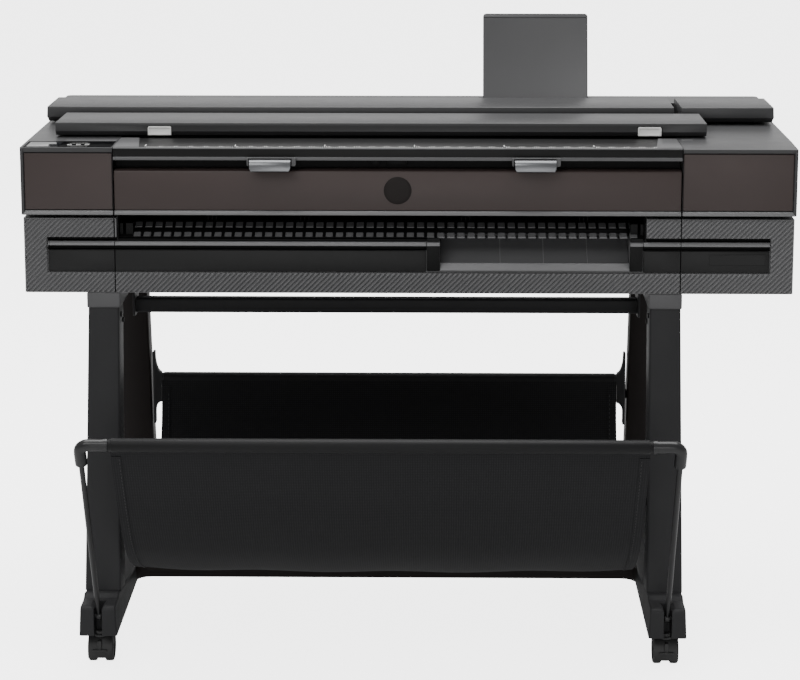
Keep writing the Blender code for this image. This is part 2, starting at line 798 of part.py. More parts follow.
def build_inside():
    box("chassis_beam", "zinc_sheet", (-0.640, 0.640), (0.283, 0.303), (0.765, 0.845))
    cylinder("carriage_rail", "steel", at(0, RAIL_Y, RAIL_Z), 0.007, 1.280, "X", 16)
    park = (CARRIAGE_PARK, CARRIAGE_PARK + CARRIAGE_WIDTH)
    carriage = box("print_carriage", "black_plastic", park, (0.178, 0.268), (0.770, 0.838), 0.003)
    bore = cylinder("carriage_bore", None, at(park[0], RAIL_Y, RAIL_Z), 0.0076, 0.300, "X", 16)
    boolean(carriage, bore, "DIFFERENCE")
    box("platen", "black_plastic", (-0.485, 0.450), (0.1010, 0.1850), (0.7480, 0.7540))

    for name, x in (("idler_pulley", -PULLEY_X), ("drive_pulley", PULLEY_X)):
        half = 0.004
        profile = [(0, half), (PULLEY_RADIUS, half), (PULLEY_RADIUS, -half), (0, -half)]
        turned(name, "steel", at(x, 0.2745, PULLEY_Z), profile, "Y", 16)
    loops = []
    for radius in (PULLEY_RADIUS + 0.0016, PULLEY_RADIUS + 0.0004):
        loop = arc((PULLEY_X, PULLEY_Z), radius, -90, 90, 8)
        loop += arc((-PULLEY_X, PULLEY_Z), radius, 90, 270, 8)
        loops.append(loop)
    outline("drive_belt", "belt_rubber", loops, "XZ", (0.2715, 0.2775))

    feed = at(-0.0175, ROLLER_Y, 0.738)
    cylinder("feed_roller", "roller_rubber", feed, 0.015, 0.940, "X", 20, pivot=feed)
    pinch = at(-0.0175, ROLLER_Y, 0.7594)
    cylinder("pinch_roller", "roller_rubber", pinch, 0.006, 0.920, "X", 12, pivot=pinch)

    hub, tubing, end = 0.042, 0.015, 0.480
    profile = [(0, end), (hub, end), (hub, end - 0.006), (0.024, end - 0.010), (0.024, end - 0.035)]
    profile += [(tubing, end - 0.037)]
    profile += [(radius, -height) for radius, height in reversed(profile)]
    turned("roll_spindle", "black_plastic", at(-0.0185, *SPINDLE), profile, "X", 20)

    for index in range(4):
        x = INK_LEFT + INK_PITCH * index
        pivot = at(x + INK_WIDTH / 2, 0.016, 0.808)
        span = (x, x + INK_WIDTH)
        box(f"ink_cartridge_{index + 1}", "black_plastic", span, (0.016, 0.155), (0.766, 0.850), 0.003, pivot)


build_legs()
build_feet()
build_beams()
build_basket()
build_cloth()
build_casters()
build_base()
build_output()
build_upper()
build_scanner()
build_covers()
build_rear()
build_inside()
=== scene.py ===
import math

import bmesh
import bpy
from mathutils import Matrix, Vector


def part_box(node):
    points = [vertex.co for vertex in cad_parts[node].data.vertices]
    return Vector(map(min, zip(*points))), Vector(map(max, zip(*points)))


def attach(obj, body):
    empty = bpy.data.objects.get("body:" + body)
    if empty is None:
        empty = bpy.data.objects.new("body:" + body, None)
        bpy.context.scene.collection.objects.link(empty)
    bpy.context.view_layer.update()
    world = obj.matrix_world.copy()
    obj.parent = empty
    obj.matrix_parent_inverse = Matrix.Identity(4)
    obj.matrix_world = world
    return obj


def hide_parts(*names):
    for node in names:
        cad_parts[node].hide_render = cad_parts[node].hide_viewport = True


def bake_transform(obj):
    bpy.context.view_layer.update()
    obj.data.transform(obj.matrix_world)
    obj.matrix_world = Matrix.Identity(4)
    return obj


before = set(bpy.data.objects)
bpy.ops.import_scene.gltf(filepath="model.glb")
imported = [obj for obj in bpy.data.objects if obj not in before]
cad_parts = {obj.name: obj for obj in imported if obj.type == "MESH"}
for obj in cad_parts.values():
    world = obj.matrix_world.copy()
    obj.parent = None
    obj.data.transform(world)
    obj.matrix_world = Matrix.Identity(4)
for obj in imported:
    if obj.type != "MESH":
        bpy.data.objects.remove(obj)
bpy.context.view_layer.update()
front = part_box("upper_left")[0].y  # the body's front face, from which depths are counted
tiny = 0.00005
turns = {"X": (0, math.pi / 2, 0), "Y": (math.pi / 2, 0, 0), "Z": (0, 0, 0)}  # from upright to each axis


def back(depth):
    return front + depth


# modelling helpers: everything is shaped in edit mode, and what is edited is chosen by its place


def deselectAll():
    if bpy.context.mode != "OBJECT":
        bpy.ops.object.mode_set(mode="OBJECT")
    bpy.ops.object.select_all(action="DESELECT")


def pickOnly(piece):
    deselectAll()
    piece.select_set(True)
    bpy.context.view_layer.objects.active = piece


def spot(part):
    if isinstance(part, bmesh.types.BMVert):
        return part.co
    return sum((vert.co for vert in part.verts), Vector()) / len(part.verts)


def anything(part):
    return True


def within(x=None, y=None, z=None):
    def test(part):
        middle = spot(part)
        return all(
            span is None or span[0] - tiny <= value <= span[1] + tiny
            for span, value in zip((x, y, z), middle)
        )

    return test


def facing(direction, x=None, y=None, z=None):
    place = within(x, y, z)
    aim = Vector(direction)
    return lambda face: face.normal.dot(aim) > 0.95 and place(face)


def edgeAlong(direction, x=None, y=None, z=None):
    place = within(x, y, z)
    aim = Vector(direction)

    def test(edge):
        run = (edge.verts[1].co - edge.verts[0].co).normalized()
        return abs(run.dot(aim)) > 0.99 and place(edge)

    return test


def choose(piece, kind, test):
    # enters edit mode with only the faces, edges or vertices that pass the test selected
    pickOnly(piece)
    bpy.ops.object.mode_set(mode="EDIT")
    bpy.ops.mesh.select_mode(type=kind)
    bpy.ops.mesh.select_all(action="DESELECT")
    mesh = bmesh.from_edit_mesh(piece.data)
    mesh.normal_update()
    parts = {"VERT": mesh.verts, "EDGE": mesh.edges, "FACE": mesh.faces}[kind]
    for part in [part for part in parts if test(part)]:
        part.select_set(True)
    mesh.select_flush_mode()
    bmesh.update_edit_mesh(piece.data)


def leaveEdit():
    bpy.ops.object.mode_set(mode="OBJECT")


def block(name, x, depth, z):
    # a cube at its size and place, the start of most pieces
    low = Vector((x[0], back(depth[0]), z[0]))
    high = Vector((x[1], back(depth[1]), z[1]))
    deselectAll()
    bpy.ops.mesh.primitive_cube_add(size=1, location=(low + high) / 2)
    piece = bpy.context.object
    piece.name = name
    piece.scale = high - low
    bpy.ops.object.transform_apply()
    return piece


def extruded(name, corners, move):
    deselectAll()
    bpy.ops.mesh.primitive_circle_add(vertices=len(corners), fill_type="NGON")
    piece = bpy.context.object
    piece.name = name
    for vert, corner in zip(piece.data.vertices, corners):
        vert.co = corner
    choose(piece, "FACE", anything)
    bpy.ops.mesh.extrude_region_move(TRANSFORM_OT_translate={"value": move})
    tidyNormals(piece)
    return piece

def drawn(name, outline, x):
    # a flat outline of (depth, height) corners drawn out across x
    return extruded(name, [(x[0], back(depth), height) for depth, height in outline], (x[1] - x[0], 0, 0))

def tidyNormals(piece):
    choose(piece, "VERT", anything)
    bpy.ops.mesh.normals_make_consistent(inside=False)
    leaveEdit()


def score(piece, test, axis, places):
    # cuts the chosen faces straight across an axis
    for place in places:
        line = Vector((axis == "X", axis == "Y", axis == "Z"))
        choose(piece, "FACE", test)
        bpy.ops.mesh.bisect(plane_co=line * place, plane_no=line)
    leaveEdit()


def push(piece, test, move):
    choose(piece, "FACE", test)
    bpy.ops.mesh.extrude_region_move(TRANSFORM_OT_translate={"value": move})
    leaveEdit()


def inset(piece, test, thickness, depth=0.0):
    choose(piece, "FACE", test)
    bpy.ops.mesh.inset(thickness=thickness, depth=depth)
    leaveEdit()


def shift(piece, test, move):
    choose(piece, "VERT", test)
    bpy.ops.transform.translate(value=move)
    leaveEdit()


def bevelEdges(piece, test, width, segments=3):
    choose(piece, "EDGE", test)
    bpy.ops.mesh.bevel(offset=width, segments=segments, affect="EDGES")
    leaveEdit()


def applyModifiers(piece):
    pickOnly(piece)
    for modifier in list(piece.modifiers):
        bpy.ops.object.modifier_apply(modifier=modifier.name)


def soften(piece, width, segments=2, angle=30):
    edge = piece.modifiers.new("softEdges", "BEVEL")
    edge.width = width
    edge.segments = segments
    edge.limit_method = "ANGLE"
    edge.angle_limit = math.radians(angle)
    applyModifiers(piece)
    return piece

def repeatRow(piece, pitch, count):
    row = piece.modifiers.new("row", "ARRAY")
    row.use_relative_offset = False
    row.use_constant_offset = True
    row.constant_offset_displace = (pitch, 0, 0)
    row.count = count
    applyModifiers(piece)


def carve(piece, cutter):
    cut = piece.modifiers.new("carve", "BOOLEAN")
    cut.operation = "DIFFERENCE"
    cut.object = cutter
    cut.solver = "EXACT"
    applyModifiers(piece)
    bpy.data.objects.remove(cutter, do_unlink=True)

def cutBox(piece, x, depth, z):
    carve(piece, block("cutter", x, depth, z))


def joined(name, pieces):
    deselectAll()
    for piece in pieces:
        piece.select_set(True)
    bpy.context.view_layer.objects.active = pieces[0]
    if len(pieces) > 1:
        bpy.ops.object.join()
    pieces[0].name = name
    return pieces[0]


def cylinder(name, middle, radius, length, axis, sides=32):
    deselectAll()
    bpy.ops.mesh.primitive_cylinder_add(
        vertices=sides, radius=radius, depth=length, location=middle, rotation=turns[axis]
    )
    piece = bpy.context.object
    piece.name = name
    bpy.ops.object.transform_apply()
    return piece


def turned(name, profile, middle, axis, steps=40):
    # a profile of (radius, height) corners turned round an axis
    deselectAll()
    bpy.ops.mesh.primitive_circle_add(vertices=len(profile), fill_type="NOTHING")
    piece = bpy.context.object
    piece.name = name
    for vert, (radius, height) in zip(piece.data.vertices, profile):
        vert.co = (radius, 0, height)
    onAxis = lambda edge: all(abs(vert.co.x) < tiny for vert in edge.verts)
    choose(piece, "EDGE", onAxis)
    bpy.ops.mesh.delete(type="EDGE")
    leaveEdit()
    lathe = piece.modifiers.new("lathe", "SCREW")
    lathe.axis = "Z"
    lathe.steps = lathe.render_steps = steps
    lathe.use_merge_vertices = True
    lathe.merge_threshold = 0.00001
    applyModifiers(piece)
    piece.rotation_euler = turns[axis]
    piece.location = middle
    bpy.ops.object.transform_apply()
    tidyNormals(piece)
    return piece


def pipe(name, points, radius, sides=5, radii=None):
    # a bent tube through points, as a curve made a mesh
    deselectAll()
    bpy.ops.curve.primitive_bezier_curve_add(location=(0, 0, 0))
    piece = bpy.context.object
    piece.name = name
    line = piece.data.splines[0]
    line.bezier_points.add(len(points) - len(line.bezier_points))
    for index, point in enumerate(points):
        knot = line.bezier_points[index]
        knot.co = point
        knot.handle_left_type = knot.handle_right_type = "AUTO"
        knot.radius = radii[index] / radius if radii else 1
    line.resolution_u = 6
    piece.data.bevel_depth = radius
    piece.data.bevel_resolution = sides
    piece.data.use_fill_caps = True
    bpy.ops.object.convert(target="MESH")
    choose(piece, "VERT", anything)
    bpy.ops.mesh.remove_doubles(threshold=0.00001)
    bpy.ops.mesh.normals_make_consistent(inside=False)
    leaveEdit()
    return piece


def copyTo(piece, name, move, mirror=False):
    twin = piece.copy()
    twin.data = piece.data.copy()
    twin.name = name
    bpy.context.scene.collection.objects.link(twin)
    pickOnly(twin)
    if mirror:
        twin.scale.x = -1
        bpy.ops.object.transform_apply(location=False, rotation=False, scale=True)
    twin.location = move
    bpy.ops.object.transform_apply()
    if mirror:
        tidyNormals(twin)
    return twin


def dress(piece, finish):
    piece.data.materials.clear()
    piece.data.materials.append(finishes[finish]["material"])

def settle(piece, body, finish, stands=(), smooth=35):
    # shades a finished piece, gives it its finish, and lets it ride on its body
    pickOnly(piece)
    if smooth:
        bpy.ops.object.shade_smooth_by_angle(angle=math.radians(smooth))
    dress(piece, finish)
    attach(piece, body)
    if stands:
        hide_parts(*stands)


# finishes


def linear(hexColour):
    def channel(value):
        value /= 255
        return value / 12.92 if value <= 0.04045 else ((value + 0.055) / 1.055) ** 2.4

    return tuple(channel(int(hexColour[place : place + 2], 16)) for place in (1, 3, 5)) + (1.0,)


def addNode(tree, kind, values, **settings):
    # adds a node, with its settings, and its inputs as values or links
    node = tree.nodes.new(kind)
    for name, value in settings.items():
        setattr(node, name, value)
    for name, value in values.items():
        if isinstance(value, bpy.types.NodeSocket):
            tree.links.new(value, node.inputs[name])
        else:
            node.inputs[name].default_value = value
    return node


def startFinish(name, roughness, metallic=0.0, ior=1.5):
    material = bpy.data.materials.new(name)
    material.use_nodes = True
    tree = material.node_tree
    shader = tree.nodes["Principled BSDF"]
    shader.inputs["Roughness"].default_value = roughness
    shader.inputs["Metallic"].default_value = metallic
    shader.inputs["IOR"].default_value = ior
    place = addNode(tree, "ShaderNodeTexCoord", {}).outputs["Object"]
    return material, tree, shader, place


def colourMix(tree, factor, first, second):
    mix = tree.nodes.new("ShaderNodeMix")
    mix.data_type = "RGBA"
    for socket, value in ((mix.inputs[0], factor), (mix.inputs[6], first), (mix.inputs[7], second)):
        if isinstance(value, bpy.types.NodeSocket):
            tree.links.new(value, socket)
        else:
            socket.default_value = value
    return mix.outputs[2]


def patchy(tree, place, colour, spread, patchMm):
    drift = addNode(tree, "ShaderNodeTexNoise", {"Vector": place, "Scale": 1000 / patchMm, "Detail": 4.0})
    base = linear(colour)
    dark = tuple(value * (1 - spread) for value in base[:3]) + (1.0,)
    light = tuple(value * (1 + spread) for value in base[:3]) + (1.0,)
    return colourMix(tree, drift.outputs["Fac"], dark, light)


def grained(values):
    # moulded or coated surfaces: a fine grain as bump, a little drift in colour and in gloss
    material, tree, shader, place = startFinish(
        values["name"], values["roughness"], values.get("metallic", 0), values.get("ior", 1.5)
    )
    tree.links.new(patchy(tree, place, values["colour"], values["spread"], 60), shader.inputs["Base Color"])
    grain = addNode(
        tree,
        "ShaderNodeTexNoise",
        {"Vector": place, "Scale": 1000 / values["grainMm"], "Detail": 3.0, "Roughness": 0.6},
    )
    wear = addNode(tree, "ShaderNodeTexNoise", {"Vector": place, "Scale": 1000 / 35, "Detail": 5.0})
    gloss = addNode(
        tree,
        "ShaderNodeMapRange",
        {
            "Value": wear.outputs["Fac"], "To Min": values["roughness"] - 0.05,
            "To Max": values["roughness"] + 0.05
        },
    )
    tree.links.new(gloss.outputs["Result"], shader.inputs["Roughness"])
    bump = addNode(
        tree,
        "ShaderNodeBump",
        {
            "Height": grain.outputs["Fac"], "Strength": values["grainDepth"],
            "Distance": values["grainMm"] / 1000
        },
    )
    tree.links.new(bump.outputs["Normal"], shader.inputs["Normal"])
    return material


def scanGlass():
    # float glass: clear, faintly green at its edge
    material, tree, shader, place = startFinish("floatGlass", 0.04)
    shader.inputs["Transmission Weight"].default_value = 0.6
    tree.links.new(patchy(tree, place, "#303634", 0.03, 80), shader.inputs["Base Color"])
    return material


def wovenPolyester():
    # plain weave of matt black yarn: 0.5 mm threads, drawn 2 mm apart so that they show
    material, tree, shader, place = startFinish("wovenPolyester", 0.85, 0.0, 1.25)
    sheet = addNode(tree, "ShaderNodeUVMap", {}, uv_map="clothRun").outputs["UV"]
    threads = []
    for direction in ("X", "Y"):
        thread = addNode(
            tree,
            "ShaderNodeTexWave",
            {"Vector": sheet, "Scale": 80.0, "Distortion": 0.4, "Detail": 1.0},
            bands_direction=direction,
        )
        threads.append(thread.outputs["Fac"])
    weave = addNode(tree, "ShaderNodeMath", {}, operation="MULTIPLY")
    tree.links.new(threads[0], weave.inputs[0])
    tree.links.new(threads[1], weave.inputs[1])
    tone = patchy(tree, place, "#1a1a1b", 0.12, 90)
    mixed = colourMix(tree, weave.outputs[0], tone, linear("#28282a"))
    tree.links.new(mixed, shader.inputs["Base Color"])
    bump = addNode(tree, "ShaderNodeBump", {"Height": weave.outputs[0], "Strength": 0.25, "Distance": 0.0006})
    tree.links.new(bump.outputs["Normal"], shader.inputs["Normal"])
    shader.inputs["Sheen Weight"].default_value = 0.05
    shader.inputs["Sheen Roughness"].default_value = 0.5
    return material


# moulded, coated and plated finishes, by the names that the pieces use
coats = {
    # trim in a lighter colour: on the lower rims, the strip in the band and the pocket sill it is painted
    # highlight for the light they catch; it also draws the thin pale lines up the tray
    "trimWithPaintedHighlight": {
        "name": "satinTrimAbsPaintedHighlight", "slot": "dark_plastic", "colour": "#69696a", "roughness": 0.36,
        "spread": 0.04, "grainMm": 0.8, "grainDepth": 0.08, "ior": 1.45
    },
    # flat panels in the band, moulded with a fine dark texture
    "band": {
        "name": "darkBandAbs", "slot": "dark_plastic", "colour": "#191919", "roughness": 0.5, "spread": 0.06,
        "grainMm": 0.9, "grainDepth": 0.12, "ior": 1.35
    },
    "elbow": {
        "name": "mouldedElbowAbs", "slot": "stand_paint", "colour": "#1d1d1e", "roughness": 0.3,
        "spread": 0.06, "grainMm": 0.9, "grainDepth": 0.08, "ior": 1.45
    },
    # the same coat on the rear struts, in a warmer tone
    "warmCoat": {
        "name": "warmPowderCoatedSteel", "slot": "stand_paint", "colour": "#1f1b1a", "roughness": 0.5,
        "spread": 0.07, "grainMm": 1.6, "grainDepth": 0.16, "ior": 1.25
    },
    "scannerAbs": {
        "name": "scannerDeckAbs", "slot": "black_plastic", "colour": "#191919", "roughness": 0.4,
        "spread": 0.05, "grainMm": 0.9, "grainDepth": 0.12, "ior": 1.25
    },
    "casterPlastic": {
        "name": "glassFilledNylon", "slot": "black_plastic", "colour": "#2b2b2b", "roughness": 0.5,
        "spread": 0.08, "grainMm": 1.0, "grainDepth": 0.18, "ior": 1.4
    },
    "display": {
        "name": "displayFilm", "slot": "gloss_black", "colour": "#16181b", "roughness": 0.08, "spread": 0.03,
        "grainMm": 2.0, "grainDepth": 0.01
    },
    "thread": {
        "name": "polyesterThread", "slot": "cloth", "colour": "#2c2c2d", "roughness": 0.7, "spread": 0.1,
        "grainMm": 0.6, "grainDepth": 0.2
    },
    "sleeveCloth": {
        "name": "sleevePolyester", "slot": "cloth", "colour": "#131314", "roughness": 0.5, "spread": 0.1,
        "grainMm": 1.1, "grainDepth": 0.3, "ior": 1.3
    },
    # ABS, spark-eroded mould grain: satin, with a soft wide highlight
    "darkAbs": {
        "name": "grainedDarkAbs", "slot": "dark_plastic", "colour": "#343435", "roughness": 0.42,
        "spread": 0.06, "grainMm": 0.9, "grainDepth": 0.18, "ior": 1.48
    },
    # the same ABS, moulded smoother on the ribs, in a lighter colour that paints a sheen on their flanks
    "ribAbsPaintedSheen": {
        "name": "ribbedAbsPaintedSheen", "slot": "rib_plastic", "colour": "#616162", "roughness": 0.45, "spread": 0.05,
        "grainMm": 0.8, "grainDepth": 0.1, "ior": 1.45
    },
    # ABS with a sprayed satin coat on the small plates and the sheet support; on the thin strips of the
    # scanner's lip the same lighter colour is painted highlight
    "deckCoatAndLipHighlight": {
        "name": "satinCoatedAbsAndLipHighlight", "slot": "deck_plastic", "colour": "#4c4c4d", "roughness": 0.42,
        "spread": 0.04, "grainMm": 0.7, "grainDepth": 0.12, "ior": 1.45
    },
    # lacquer with fine warm pigment, silky
    "taupe": {
        "name": "taupeLacquer", "slot": "taupe_panel", "colour": "#3b312f", "roughness": 0.45, "spread": 0.04,
        "grainMm": 0.6, "grainDepth": 0.1, "ior": 1.4
    },
    "blackAbs": {
        "name": "plainBlackAbs", "slot": "black_plastic", "colour": "#080808", "roughness": 0.6,
        "spread": 0.08, "grainMm": 0.9, "grainDepth": 0.15, "ior": 1.3
    },
    # polycarbonate over a display, polished
    "polished": {
        "name": "polishedPolycarbonate", "slot": "gloss_black", "colour": "#030304", "roughness": 0.3,
        "spread": 0.02, "grainMm": 2.5, "grainDepth": 0.004, "ior": 1.04
    },
    "paleAbs": {
        "name": "paleGreyAbs", "slot": "grey_latch", "colour": "#f4f4f2", "roughness": 0.45, "spread": 0.03,
        "grainMm": 0.8, "grainDepth": 0.12
    },
    # die casting under metallic paint: flakes give it a grey sheen
    "castGrey": {
        "name": "metallicPaintedZinc", "slot": "grey_handle", "colour": "#6d6e70", "roughness": 0.3,
        "spread": 0.05, "grainMm": 0.7, "grainDepth": 0.08, "metallic": 0.85
    },
    # polyester powder coat on steel, fine orange peel
    "powderCoat": {
        "name": "powderCoatedSteel", "slot": "stand_paint", "colour": "#2b2b2c", "roughness": 0.5,
        "spread": 0.07, "grainMm": 1.6, "grainDepth": 0.16, "ior": 1.25
    },
    # grey ABS; on the leg caps its lighter tone is painted light, standing for the light their upward facing
    # front would catch
    "capAbs": {
        "name": "greyAbsWithPaintedCapLight", "slot": "stand_paint", "colour": "#4c4c4d", "roughness": 0.45, "spread": 0.05,
        "grainMm": 0.9, "grainDepth": 0.15, "ior": 1.4
    },
    "tread": {
        "name": "casterRubber", "slot": "tyre", "colour": "#1a1a1a", "roughness": 0.6, "spread": 0.12,
        "grainMm": 1.2, "grainDepth": 0.2
    },
    "zinc": {
        "name": "zincPlatedSheet", "slot": "zinc_sheet", "colour": "#a5a6a2", "roughness": 0.38,
        "spread": 0.1, "grainMm": 8.0, "grainDepth": 0.03, "metallic": 0.9
    },
    "steel": {
        "name": "groundSteel", "slot": "steel", "colour": "#b9babb", "roughness": 0.28, "spread": 0.05,
        "grainMm": 1.0, "grainDepth": 0.04, "metallic": 1.0
    },
    "board": {
        "name": "circuitBoardResin", "slot": "board_green", "colour": "#1d4a2c", "roughness": 0.4,
        "spread": 0.12, "grainMm": 3.0, "grainDepth": 0.1
    },
    "ink": {
        "name": "padPrintedInk", "slot": "dark_plastic", "colour": "#f0f0ee", "roughness": 0.5,
        "spread": 0.02, "grainMm": 0.6, "grainDepth": 0.02
    },
}
for key, slot in (("rubber", "roller_rubber"), ("beltRubber", "belt_rubber")):
    coats[key] = {**coats["tread"], "slot": slot}
# printed film labels on the ink cartridges
for hue, colour in (("Cyan", "#1f86b8"), ("Magenta", "#b02a6c"), ("Yellow", "#d8b428"), ("Black", "#303032")):
    coats["ink" + hue] = {
        "name": hue.lower() + "LabelFilm", "slot": "black_plastic", "colour": colour, "roughness": 0.4,
        "spread": 0.03, "grainMm": 0.6, "grainDepth": 0.04
    }
finishes = {key: {"material": grained(coat), "slot": coat["slot"]} for key, coat in coats.items()}
finishes["cloth"] = {"material": wovenPolyester(), "slot": "cloth"}
finishes["glass"] = {"material": scanGlass(), "slot": "glass"}
print("finishes are mixed")


# lower box: three ribbed covers round a recessed band


cover = {
    "half": 0.6555,
    "seams": (-0.5005, 0.4636),
    "bottom": 0.617,
    "top": 0.7455,
    "depth": 0.440,
    "bandHalf": 0.616,
    "band": (0.6515, 0.7127),
    "bandDepth": 0.008,
    "grooves": ((0.7062, 0.7122), (0.6908, 0.6980)),  # deep gaps above and below the strip, dark from their depth and from the black liner of painted shade set in them
    "ribPitch": 0.0088,  # measured along x: the ribs lean at 45 degrees
    "ribDepth": 0.0030,
    "rim": 0.0034,
}


def ribField(name, x, z):
    # one rib drawn once, repeated across, and trimmed to its field
    pitch = cover["ribPitch"]
    height = z[1] - z[0]
    start = z[0] + math.floor((x[0] - height - z[0]) / pitch) * pitch
    low = cover["ribDepth"]
    section = [(0, low), (0.46, 0.0001), (0.54, 0.0001), (1, low), (1, low + 0.0006), (0, low + 0.0006)]
    corners = [(start + share * pitch, back(depth), z[0]) for share, depth in section]
    rib = extruded(name, corners, (height, 0, height))
    repeatRow(rib, pitch, math.ceil((x[1] - start) / pitch) + 1)
    for place, outwards in ((x[0], -1), (x[1], 1)):
        choose(rib, "FACE", anything)
        bpy.ops.mesh.bisect(
            plane_co=(place, 0, 0), plane_no=(outwards, 0, 0), use_fill=True, clear_outer=True
        )
        leaveEdit()
    return rib


def lowerCover(side, x, fields, rounded):
    rim = cover["rim"]
    inner = (x[0] + rim if side == "Left" else x[0] - 0.001, x[1] - rim if side == "Right" else x[1] + 0.001)
    piece = block("ribbedCover" + side, x, (0, cover["depth"]), (cover["bottom"], cover["top"]))
    for edge in rounded:
        bevelEdges(piece, edgeAlong((0, 0, 1), x=(edge, edge)), 0.006, 4)
    cutBox(piece, inner, (-0.01, cover["ribDepth"]), (cover["bottom"] + 0.0008, cover["top"] - 0.0008))
    band = (max(x[0] - 0.01, -cover["bandHalf"]), min(x[1] + 0.01, cover["bandHalf"]))
    cutBox(piece, band, (-0.01, cover["bandDepth"]), cover["band"])
    for groove in cover["grooves"]:
        cutBox(piece, (band[0] + 0.0005, band[1] - 0.0005), (0.004, 0.0170), groove)
    if side == "Centre":
        cutBox(piece, (-0.497, 0.405), (-0.01, 0.096), (0.7058, 0.760))
        cutBox(piece, (0.054, 0.377), (-0.01, 0.080), (0.655, 0.710))
        cutBox(piece, (-0.49, 0.455), (0.100, 0.430), (0.625, 0.760))
    soften(piece, 0.0009, 2)
    pieces = [piece] + [ribField("ribs", field[0], field[1]) for field in fields]
    # the cover and its ribs take the lighter rib colour, a painted sheen
    settle(joined("ribbedCover" + side, pieces), "root", "ribAbsPaintedSheen", ["base_" + side.lower()], 20)


def addLowerBox():
    rim = cover["rim"]
    low, high = cover["bottom"] + 0.0010, cover["top"] - 0.0010
    bandLow, bandHigh = cover["band"]
    half, bandHalf = cover["half"], cover["bandHalf"]
    left, right = cover["seams"]
    gap = 0.0010
    leftX, midX, rightX = (-half, left - gap), (left + gap, right - gap), (right + gap, half)
    below, above, level = (low, bandLow - 0.0004), (bandHigh + 0.0004, high), (
        bandLow - 0.0004, bandHigh + 0.0004
    )
    leftIn, midIn, rightIn = (leftX[0] + rim, leftX[1]), midX, (rightX[0], rightX[1] - rim)
    sideLeft, sideRight = (leftIn[0], -bandHalf - 0.0004), (bandHalf + 0.0004, rightIn[1])
    lowerCover("Left", leftX, [(leftIn, below), (leftIn, above), (sideLeft, level)], [-half])
    lowerCover("Centre", midX, [(midIn, below), ((0.4055, midIn[1]), above)], [])
    lowerCover("Right", rightX, [(rightIn, below), (rightIn, above), (sideRight, level)], [half])


output = {
    "lip": (0.6985, 0.7055),
    "pocket": (0.054, 0.377),
    "post": 0.022,
    "sill": (0.6560, 0.6680),
    "lines": (0.157, 0.231, 0.306),  # where thin pale lines run up the tray
    "tilePitch": 0.0173,
    "wheelSpots": (-0.337, -0.178, 0.098, 0.300),
    "slot": (-0.497, 0.405),
}


def lipStrip(name, x):
    # a strip whose sloping face catches the light from above; its lighter trim colour paints that highlight
    low, high = output["lip"]
    outline = [
        (0.0076, high), (0.0052, high), (0.0018, high - 0.0042), (0.0012, high - 0.0054),
        (0.0012, low), (0.0076, low),
    ]
    return soften(drawn(name, outline, x), 0.0004, 1)


def addOutputTrim():
    left, right = output["pocket"]
    post = output["post"]
    half = cover["bandHalf"]
    seamLeft, seamRight = cover["seams"]
    runs = [
        (-half + 0.0015, -half + 0.004), (-half + 0.0045, seamLeft - 0.0005),
        (seamLeft + 0.0005, left - post - 0.0012),
        (left - post, left - 0.0005), (right + 0.0005, right + post),
        (right + post + 0.0012, seamRight - 0.0005), (seamRight + 0.0005, half - 0.0015),
    ]
    # the strips take the lighter trim colour: painted highlight along their sloping faces
    strip = joined("lipStrip", [lipStrip("lip", x) for x in runs])
    settle(strip, "root", "trimWithPaintedHighlight", ["output_trim"])
    # a black liner of painted shade at the back of the grooves above and below the strip, and the flat panel
    # under it
    shadeLiners = []
    for x in ((-half + 0.0008, left - post - 0.0008), (right + post + 0.0008, half - 0.0008)):
        for z in cover["grooves"]:
            shadeLiners.append(block("shadeLiner", x, (0.0160, 0.0168), z))
            shadeLiners.append(block("shadeLiner", x, (0.0042, 0.0160), (z[0], z[0] + 0.0004)))
            shadeLiners.append(block("shadeLiner", x, (0.0082, 0.0160), (z[1] - 0.0004, z[1])))
    settle(joined("paintedShadeLiner", shadeLiners), "root", "blackAbs")
    flats = []
    for x in ((-half + 0.0020, seamLeft - 0.0005), (seamLeft + 0.0005, left - post - 0.0015),
              (right + post + 0.0015, seamRight - 0.0005), (seamRight + 0.0005, half - 0.0020)):
        flats.append(soften(block("flat", x, (0.0040, 0.0076), (0.6530, 0.6900)), 0.0012, 2))
    settle(joined("bandPanels", flats), "root", "band")
    posts = []
    for x in ((left - post, left - 0.0003), (right + 0.0003, right + post)):
        posts.append(
            soften(block("post", x, (0.0014, 0.0078), (0.6553, output["lip"][0] - 0.0002)), 0.0008, 2)
        )
        posts.append(
            soften(block("postHead", x, (0.003, 0.0078), (output["lip"][1] + 0.0002, 0.7115)), 0.0006, 1)
        )
    settle(joined("pocketPosts", posts), "root", "blackAbs")
    # the sill's lighter trim colour paints the band of light it catches
    low, high = output["sill"]
    sillOutline = [
        (0.0013, low), (0.0013, low + 0.0016), (0.0105, high), (0.0120, high), (0.0128, low + 0.0095),
        (0.0128, low),
    ]
    settle(
        soften(drawn("pocketSill", sillOutline, (left + 0.0003, right - 0.0003)), 0.0006, 2), "root", "trimWithPaintedHighlight"
    )
    # the tray behind the sill rises to the back, with thin pale lines drawn up it
    run = [(0.0128, 0.6640), (0.0680, 0.7040), (0.0785, 0.7040), (0.0785, 0.6570), (0.0128, 0.6570)]
    settle(soften(drawn("pocketTray", run, (left + 0.0006, right - 0.0006)), 0.0006, 1), "root", "capAbs")
    lines = []
    for x in output["lines"]:
        lines.append(
            drawn(
                "line", [(0.0130, 0.6645), (0.0680, 0.7044), (0.0680, 0.7020), (0.0130, 0.6620)],
                (x - 0.0005, x + 0.0005)
            )
        )
    settle(joined("pocketLines", lines), "root", "trimWithPaintedHighlight")


